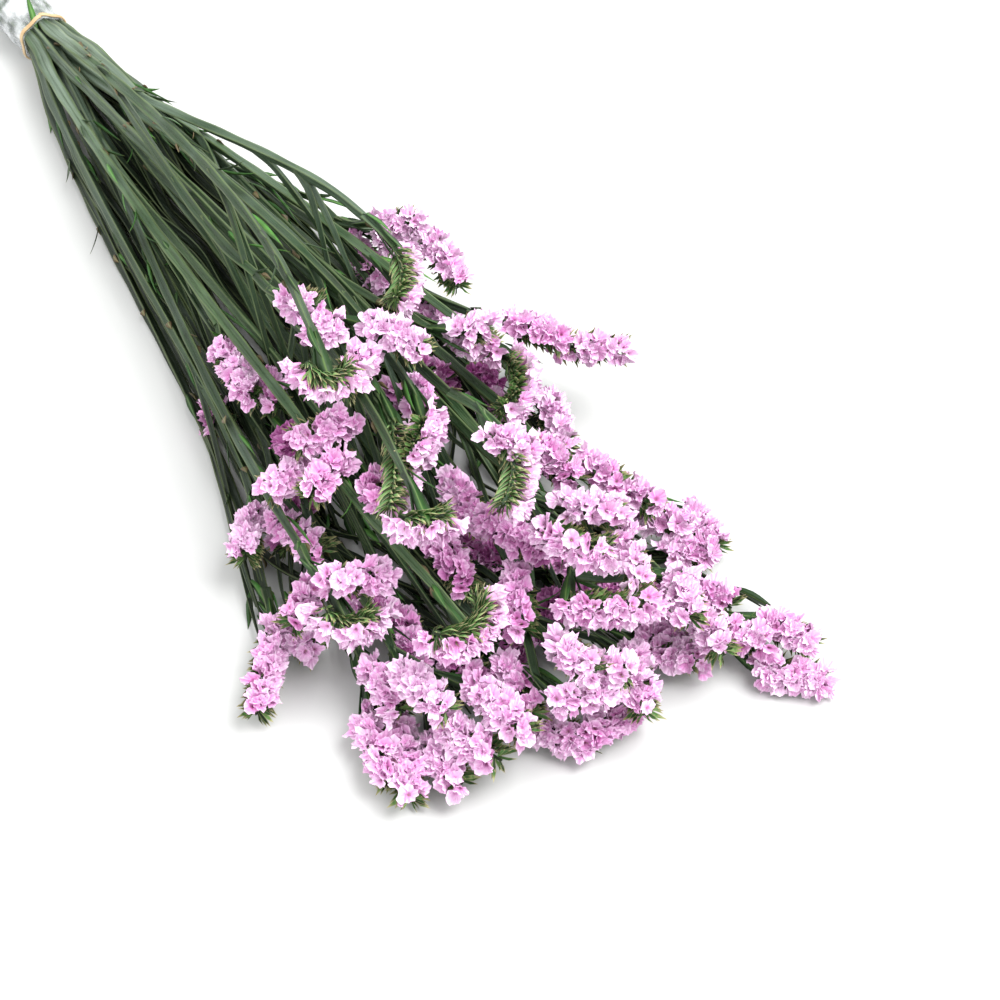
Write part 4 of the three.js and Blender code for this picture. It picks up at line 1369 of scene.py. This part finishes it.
def film_look():
    """Thin clear film, hazy where it is creased."""
    look, tree, shader = new_look("clear_film", Roughness=0.16, Specular_IOR_Level=0.6)
    here = place_in(tree)
    crease = noise(tree, here, 90.0, 5.0)
    body = ramp(tree, crease, ((0.3, "c9cfd2"), (0.7, "f4f6f8")))
    tree.links.new(spread(tree, crease, 0.4, 0.68, 0.1, 0.6), shader.inputs["Alpha"])
    clothe(tree, shader, body, crease, 0.6, 0.002)
    return look


def floor_look():
    look, _, _ = new_look("pale_floor", Base_Color=colour_of("cbcccb"), Roughness=0.9,
                          Specular_IOR_Level=0.1)
    return look


def joined(name, meshes):
    """One object from several meshes, with their traits and materials."""
    objects = [new_object(name, mesh) for mesh in meshes]
    if len(objects) > 1:
        with bpy.context.temp_override(active_object=objects[0], selected_objects=objects,
                                       selected_editable_objects=objects):
            bpy.ops.object.join()
    whole = objects[0]
    whole.name = name
    return whole


def hand_over(piece, slot, *nodes):
    """Says what a finished piece rides on and stands for. Its slot is not used."""
    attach(piece, "root")
    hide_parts(*nodes)


def dress_spike(spike, shift, tops, rng, calyces, bracts, threads):
    """A comb's rachis, its bracts in two ranks, and its calyces."""
    count = max(LEAST_SPIKELETS, rounded((spike.long + SPIKE_OVERHANG) / SPIKELET_PITCH))
    x, y, z = add(spike.middle, shift)
    # Painted shade: the calyces' tint darkens for each spike that lies over this one.
    share = 1 + COVER_OUT / math.hypot(x, y)
    cover = sum(math.dist(top[:2], (x * share, y * share)) < COVER_REACH and top[2] > z + COVER_RISE
                for top in tops)
    tint_and_shade = rng.uniform(*CALYX_TINTS) - COVER_SHADE * cover
    offset = Vector(shift)
    rachis = []
    for k in range(RACHIS_STEPS + 1):
        place, _, _ = spike.station(k / RACHIS_STEPS - 0.5)
        rachis.append((*add(place, shift), RACHIS_RADIUS * (1 - RACHIS_TAPER * k / RACHIS_STEPS)))
    threads.add(rachis, rng.uniform(*ANY_TURN), RACHIS_TWIST, rng.uniform(*RACHIS_TONES))
    for rank in range(2 * count):
        hand = 1 if rank % 2 else -1
        s = (rank + 0.5) / (2 * count) - 0.5
        place, way, face = (Vector(v) for v in spike.station(s))
        aside = way.cross(face)
        place += offset
        end = min(1.0, max(0.0, abs(s) * 2 - 1 + END_SPIKELETS / count) * count / END_SPIKELETS)
        lean = math.copysign(END_LEAN * end, s)
        for splay, ahead, lift, grow in BRACT_PLACES:
            tilt = math.radians(splay + rng.uniform(*BRACT_TILTS)) * hand
            along = face * math.cos(tilt) + aside * math.sin(tilt)
            along += way * (ahead + lean + rng.uniform(*BRACT_LEANS))
            out = aside * math.cos(tilt) * hand - face * math.sin(abs(tilt))
            root = place + face * lift + aside * hand * rng.uniform(*BRACT_SIDES)
            grow = grow * rng.uniform(*BRACT_GROWTH) * (1 - END_SHRINK * end)
            bracts.add(root, along, out - way * BRACT_TURN_BACK, grow, rng.randrange(BRACT_KINDS),
                       rng.random())
        if rng.random() < BARE_SHARE:
            continue
        for side, lift, splay in CALYX_PLACES:
            tilt = math.radians(splay + rng.uniform(*CALYX_TILTS)) * hand
            along = face * math.cos(tilt) + aside * math.sin(tilt)
            along += way * (lean + rng.uniform(*CALYX_LEANS))
            root = place + face * (lift + rng.uniform(*CALYX_LIFTS))
            root += aside * hand * side + way * rng.uniform(*CALYX_SHIFTS)
            calyces.add(root, along, random_way(rng), rng.uniform(*CALYX_GROWTH),
                        rng.randrange(CALYX_KINDS),
                        min(1.0, max(0.0, tint_and_shade + rng.random() * TINT_SPREAD)))


def way_between(a, b):
    return Vector(sub(b, a)).normalized()


def leaf_at(blades, rng, place, way, kind):
    """A narrow leaf that leans away from a stem at a place on it. Some leaves curl."""
    long, half = (rng.uniform(*span) for span in kind)
    side = random_side(rng, way)
    lean = way + side * rng.uniform(*LEAF_LEANS)
    curl = rng.choice(LEAF_CURLS)
    blades.add(Vector(place) + side * LEAF_OUT, lean, side, long, half,
               rng.uniform(-curl, LEAF_CURL_BACK * curl), rng.uniform(0, LEAF_TONE_MOST))


def dry_scale_at(blades, rng, place, way):
    side = random_side(rng, way)
    blades.add(Vector(place) + side * SCALE_OUT, way + side * SCALE_LEAN, side,
               rng.uniform(*SCALE_LONG), SCALE_HALF, rng.uniform(*SCALE_BENDS), DRY_TONE)


def end_wings(blades, rng, place, way):
    """The wings of a twig broaden where it meets its comb, and end in pointed lobes there."""
    first = random_side(rng, way)
    for k in range(END_WINGS):
        turn = 2 * math.pi * k / END_WINGS + rng.uniform(*END_WING_TURNS)
        side = Matrix.Rotation(turn, 3, way) @ first
        root = Vector(place) - way * END_WING_BACK + side * END_WING_OUT
        blades.add(root, way + side * rng.uniform(*END_WING_LEANS), side,
                   rng.uniform(*END_WING_LONG), rng.uniform(*END_WING_HALF),
                   rng.uniform(*END_WING_BENDS), rng.uniform(*END_WING_TONES), WING_WIDTHS)


def crossing(stem, x):
    """Where the main stem is at an x, or None past its end."""
    places = [point.at() for point in stem.main]
    for a, b in zip(places, places[1:]):
        if a[0] <= x <= b[0]:
            return add(a, scale(sub(b, a), (x - a[0]) / (b[0] - a[0])))
    return None


def lay_lanes(bunch, rng):
    """Side branches without flowers, which fill the bunch below its stems."""
    for lane in range(LANES):
        share = (lane + 0.5) / LANES + rng.uniform(-LANE_SHIFT, LANE_SHIFT) / LANES
        start = rng.uniform(*LANE_START)
        end = rng.uniform(*LANE_END)
        height = rng.uniform(*LANE_HEIGHT)
        line = []
        owner = None
        x = start
        while x <= end:
            found = [(crossing(stem, x), stem) for stem in bunch.stems]
            found = [(place, stem) for place, stem in found if place]
            if len(found) < LANE_LEAST_STEMS:
                break
            ys = sorted(place[1] for place, _ in found)
            y = ys[1] + (ys[-2] - ys[1]) * share
            if owner is None:
                before, owner = min(
                    found, key=lambda item: abs(item[0][1] - y) + item[0][2] * LANE_LOW_FIRST)
            blend = min(1.0, (x - start) / LANE_JOIN)
            blend = blend * blend * (3 - 2 * blend)
            rise = height * (1 - LANE_SWAY + LANE_SWAY * math.sin(x / LANE_WAVE + lane))
            place = crossing(owner, x) or before
            before = (x, place[1] + (y - place[1]) * blend + rng.uniform(-LANE_STRAY, LANE_STRAY),
                      max(LANE_LOWEST, place[2] + (rise - place[2]) * blend))
            line.append(before)
            x += LANE_STEP
        if len(line) >= LANE_LEAST_STEPS:
            owner.lanes.append(line)


def lay_undergrowth(bunch, rng):
    """Bare side twigs that bend down from the stem below every head."""
    for stem in bunch.stems:
        for thread in (stem.main, *stem.branches):
            head = thread[-1].head
            for _ in range(UNDER_PER_HEAD):
                back = rng.randrange(min(UNDER_FIRST, len(thread) - 2), min(UNDER_LAST, len(thread)))
                start = thread[-back].at()
                way = unit(sub(thread[1 - back].at(), start))
                x, y, _ = add(rng.choice(head.spikes).middle, head.shift)
                share = 1 - UNDER_BACK / math.hypot(x, y)
                end = (x * share + rng.uniform(-UNDER_SPREAD, UNDER_SPREAD),
                       y * share + rng.uniform(-UNDER_SPREAD, UNDER_SPREAD),
                       rng.uniform(*UNDER_HEIGHT))
                pull = math.dist(start, end) * PULL_AT_HEAD
                flat = unit((end[0], end[1], 0))
                stem.under.append(curve(start, scale(way, pull), end, scale(flat, pull), UNDER_STEPS))


def lay_low_spikes(bunch):
    """Gives each low spike to the stem that runs nearest behind it, with a twig from there."""
    stretches = [(stem, a.at(), b.at()) for stem in bunch.stems
                 for thread in (stem.main[2:], *stem.branches) for a, b in zip(thread, thread[1:])]
    for entry in LOW_SPIKES:
        spike = Spike(*entry, LOW_BEND)
        end, way, _ = spike.station(-0.5)
        behind = sub(end, scale(way, LOW_TWIG))
        stem, start, after = min(stretches, key=lambda item: math.dist(item[1], behind))
        pull = math.dist(start, end) * PULL_AT_HEAD
        start_way = unit(sub(after, start))
        line = curve(start, scale(start_way, pull), end, scale(way, pull), LOW_STEPS)
        heads = range(len(stem.heads))
        nearest = min(heads, key=lambda k: math.dist(stem.heads[k].node.at(), end))
        stem.low.append((spike, line, nearest))


def lay_lone_leaves(bunch):
    """Gives each leaf that shows by itself to the stem that runs nearest to its root."""
    places = []
    for stem in bunch.stems:
        line = fine_path([point.at() for point in stem.main], [0] * len(stem.main))
        places += [(place[:3], stem) for place in line]
    for root, *shape in LONE_LEAVES:
        place, stem = min(places, key=lambda item: math.dist(item[0], root))
        stem.lone.append((place, *shape))


def grow_spike(spike, line, shift, tops, rng, calyces, bracts, threads, blades):
    """A spike with its twig, a leaf where the twig starts, and wings where it ends."""
    last = len(line) - 1
    widths = [TWIG_RADIUS * (TWIG_SWELL - TWIG_TAPER * j / last) for j in range(last + 1)]
    threads.sweep(rng, fine_path(line, widths), TWIG_TWIST)
    dress_spike(spike, shift, tops, rng, calyces, bracts, threads)
    leaf_at(blades, rng, line[0], way_between(line[0], line[1]), TWIG_LEAF)
    end_wings(blades, rng, line[-1], way_between(line[-2], line[-1]))


def green_piece(k, stem, tops, rng, kinds, trees, looks):
    """A whole stem with its branches, twigs, leaves and combs of bracts, and its heads' calyces."""
    threads = Threads()
    blades = Blades()
    bracts = Scatter()
    line = [point.at() for point in stem.main]
    radii = [*(point.radius for point in stem.main[:-1]), TWIG_RADIUS]
    path = [(x, y, z, radius * np.interp(x, *zip(*TIE_GIRTHS)))
            for x, y, z, radius in fine_path(line, radii)]
    threads.sweep(rng, path, STEM_TWIST)
    for branch in stem.branches:
        line = [point.at() for point in branch]
        root, rest = (BRANCH_RADIUS * share for share in BRANCH_SHARES)
        widths = [root, *[rest] * (len(branch) - 2), TWIG_RADIUS]
        threads.sweep(rng, fine_path(line, widths), SIDE_TWIST)
        way = way_between(line[0], line[1])
        leaf_at(blades, rng, line[0], way, FORK_LEAF)
        dry_scale_at(blades, rng, line[0], way)
    # Side branches and bare twigs get only darker tones, as painted shade.
    for line in stem.lanes:
        threads.sweep(rng, tapered(line, LANE_RADIUS), SIDE_TWIST, LANE_SHADE_TONE_MOST)
        leaf_at(blades, rng, line[-1], way_between(line[-2], line[-1]), LANE_LEAF)
    for line in stem.under:
        threads.sweep(rng, tapered(line, UNDER_RADIUS), SIDE_TWIST, UNDER_SHADE_TONE_MOST)
        leaf_at(blades, rng, line[-2], way_between(line[-2], line[-1]), UNDER_LEAF)
    for _ in range(LEAVES_PER_STEM):
        j = rng.randrange(FIRST_LEAF_STEP, len(path) - 2)
        leaf_at(blades, rng, path[j][:3], way_between(path[j], path[j + 1]), STEM_LEAF)
    for _ in range(DRY_SCALES_PER_STEM):
        j = rng.randrange(FIRST_SCALE_STEP, len(path) - 2)
        dry_scale_at(blades, rng, path[j][:3], way_between(path[j], path[j + 1]))
    heads = []
    for head in stem.heads:
        calyces = Scatter()
        dry_scale_at(blades, rng, head.node.at(), Vector(head.way))
        for spike, twig in zip(head.spikes, head.twigs):
            line = [point.at() for point in twig]
            grow_spike(spike, line, head.shift, tops, rng, calyces, bracts, threads, blades)
        heads.append(calyces)
    for spike, line, nearest in stem.low:
        grow_spike(spike, line, (0, 0, 0), tops, rng, heads[nearest], bracts, threads, blades)
    for root, way, *shape in stem.lone:
        blades.add(root, Vector(way), Vector((0, 0, 1)), *shape)
    meshes = [
        threads.grown("threads", trees["stem"], looks["stem"]),
        blades.grown("leaves", looks["leaf"]),
        bracts.grown("bracts", trees["scatter"], kinds["bract"], looks["bract"]),
    ]
    piece = joined(f"grown_stem_{k + 1:02d}", meshes)
    hand_over(piece, "green_stem", f"stem_{k + 1:02d}")
    return heads


def smooth_piece(name, mesh, look):
    """An object from one mesh, with one look all over."""
    mesh.materials.append(look)
    mesh.shade_smooth()
    return joined(name, [mesh])


def tie_radius(a):
    """The band's distance from the middle of the tie at an angle from straight up.

    It is farthest out over the six stems that lie at the corners of the tie.
    """
    return BAND_RADIUS + BAND_CORNER * math.cos(BAND_CORNERS * a)


def band_piece(look):
    """The rubber band: one loop wound twice round the bunch."""
    places = []
    rings = []
    for j in range(BAND_TURNS * BAND_STEPS + 1):
        a = 2 * math.pi * j / BAND_STEPS
        x = ((j / BAND_STEPS) / BAND_TURNS - 0.5) * BAND_PITCH * (BAND_TURNS - BAND_OVERLAP)
        radius = tie_radius(a)
        y = radius * math.sin(a)
        z = TIE_HEIGHT + radius * math.cos(a)
        out = Vector((0, y, z - TIE_HEIGHT)).normalized()
        rings.append(range(len(places), len(places) + BAND_SIDES))
        for i in range(BAND_SIDES):
            b = 2 * math.pi * i / BAND_SIDES
            flat = Vector((BAND_HALF_WIDTH * math.cos(b), 0, 0)) + out * (BAND_HALF_THICK * math.sin(b))
            places.append(tuple(Vector((x, y, z)) + flat))
    faces = [*tube_faces(rings), rings[0], rings[-1]]
    mesh = lifted(outward(new_mesh("band", places, faces=faces)))
    hand_over(smooth_piece("band_turns", mesh, look), "rubber_band", "rubber_band")


def bag_ring(x, share, wall, waves):
    """A ring of the film bag at an x. The share is that of its radius, and the wall moves it in."""
    ring = []
    for i in range(BAG_SIDES):
        a = 2 * math.pi * i / BAG_SIDES
        crumple = sum(math.sin(n * a + phase + twist * x) for phase, n, twist in waves) / len(waves)
        loose = min(1.0, abs(x) / BAG_LOOSE_X)
        pleat = BAG_PLEAT * math.sin(BAG_PLEATS * a)
        hug = max(0.0, 1 - abs(x) / BAG_HUG_X) ** 0.5
        tight = tie_radius(math.pi / 2 - a) - BAG_UNDER_BAND
        radius = (BAG_RADIUS * share + loose * crumple * BAG_CRUMPLE + pleat) * (1 - hug)
        radius += (tight + BAG_TIGHT_PLEAT * pleat) * hug + wall
        ring.append((x - (wall if x < BAG_FLOOR_X else 0), radius * math.cos(a),
                     max(GROUND - wall, TIE_HEIGHT + radius * math.sin(a))))
    return ring


def bag_piece(look):
    """The film bag: pleated where the band gathers it, crumpled over the cut ends."""
    rng = random.Random(BAG_SEED)
    waves = [(rng.uniform(*ANY_TURN), rng.randint(*BAG_FOLDS), rng.uniform(*BAG_TWISTS))
             for _ in range(BAG_WAVES)]
    places = []
    rings = []
    for wall, outline in ((0.0, BAG_OUTLINE), (-BAG_WALL, BAG_OUTLINE[::-1])):
        for x, share in outline:
            ring = bag_ring(x, share, wall, waves) if share else [(x - wall, 0, TIE_HEIGHT)]
            rings.append(range(len(places), len(places) + len(ring)))
            places += ring
    mesh = outward(new_mesh("bag", places, faces=tube_faces(rings)))
    hand_over(smooth_piece("film_sleeve", mesh, look), "clear_film", "film_bag")


def grow_bunch():
    bunch = Bunch()
    rng = random.Random(GROWTH_SEED)
    looks = {"calyx": calyx_look(), "stem": stem_look(), "leaf": leaf_look(), "bract": bract_look(),
             "rubber": rubber_look(), "film": film_look()}
    trees = {"stem": winged_stem_tree(), "scatter": scatter_tree()}
    kinds = {"calyx": shape_kinds("calyx_kind", CALYX_KINDS, calyx_shape, CALYX_SEED),
             "bract": shape_kinds("bract_kind", BRACT_KINDS, bract_shape, BRACT_SEED)}
    lay_lanes(bunch, random.Random(LANE_SEED))
    lay_undergrowth(bunch, random.Random(UNDER_SEED))
    lay_low_spikes(bunch)
    lay_lone_leaves(bunch)
    tops = [add(spike.middle, head.shift) for head in bunch.heads for spike in head.spikes]
    number = 0
    for k, stem in enumerate(bunch.stems):
        for calyces in green_piece(k, stem, tops, rng, kinds, trees, looks):
            number += 1
            mesh = calyces.grown("calyces", trees["scatter"], kinds["calyx"], looks["calyx"])
            piece = joined(f"calyces_{number:02d}", [mesh])
            hand_over(piece, "pink_calyx", f"flower_head_{number:02d}")
    band_piece(looks["rubber"])
    bag_piece(looks["film"])
    for kind in kinds.values():
        for obj in list(kind.objects):
            bpy.data.objects.remove(obj)
        bpy.data.collections.remove(kind)


def set_camera():
    data = bpy.data.cameras.new("camera")
    data.angle = 2 * math.atan(IMAGE_HALF / FOCAL)
    data.clip_end = CAMERA_REACH
    camera = new_object("camera", data)
    camera.location = [v * MM for v in CAMERA_PLACE]
    camera.rotation_euler = Vector(CAMERA_LOOK).to_track_quat("-Z", "Y").to_euler()
    bpy.context.scene.camera = camera


def set_floor():
    side = FLOOR_HALF
    places = [(-side, -side, 0), (side, -side, 0), (side, side, 0), (-side, side, 0)]
    mesh = new_mesh("floor", places, faces=[(0, 1, 2, 3)])
    mesh.materials.append(floor_look())
    floor = new_object("floor", mesh)


def set_light():
    scene = bpy.context.scene
    scene.view_settings.view_transform = "Standard"
    world = bpy.data.worlds.new("studio")
    world.use_nodes = True
    back = world.node_tree.nodes["Background"]
    back.inputs["Color"].default_value = (1, 1, 1, 1)
    back.inputs["Strength"].default_value = WORLD_STRENGTH
    scene.world = world
    for name, place, wide, power in LAMPS:
        data = bpy.data.lights.new(name, "AREA")
        data.size = wide
        data.energy = power
        lamp = new_object(name, data)
        lamp.location = place
        aim = Vector(LAMP_AIM) - Vector(place)
        lamp.rotation_euler = aim.to_track_quat("-Z", "Y").to_euler()


set_camera()
set_floor()
set_light()
grow_bunch()

bpy.context.view_layer.update()
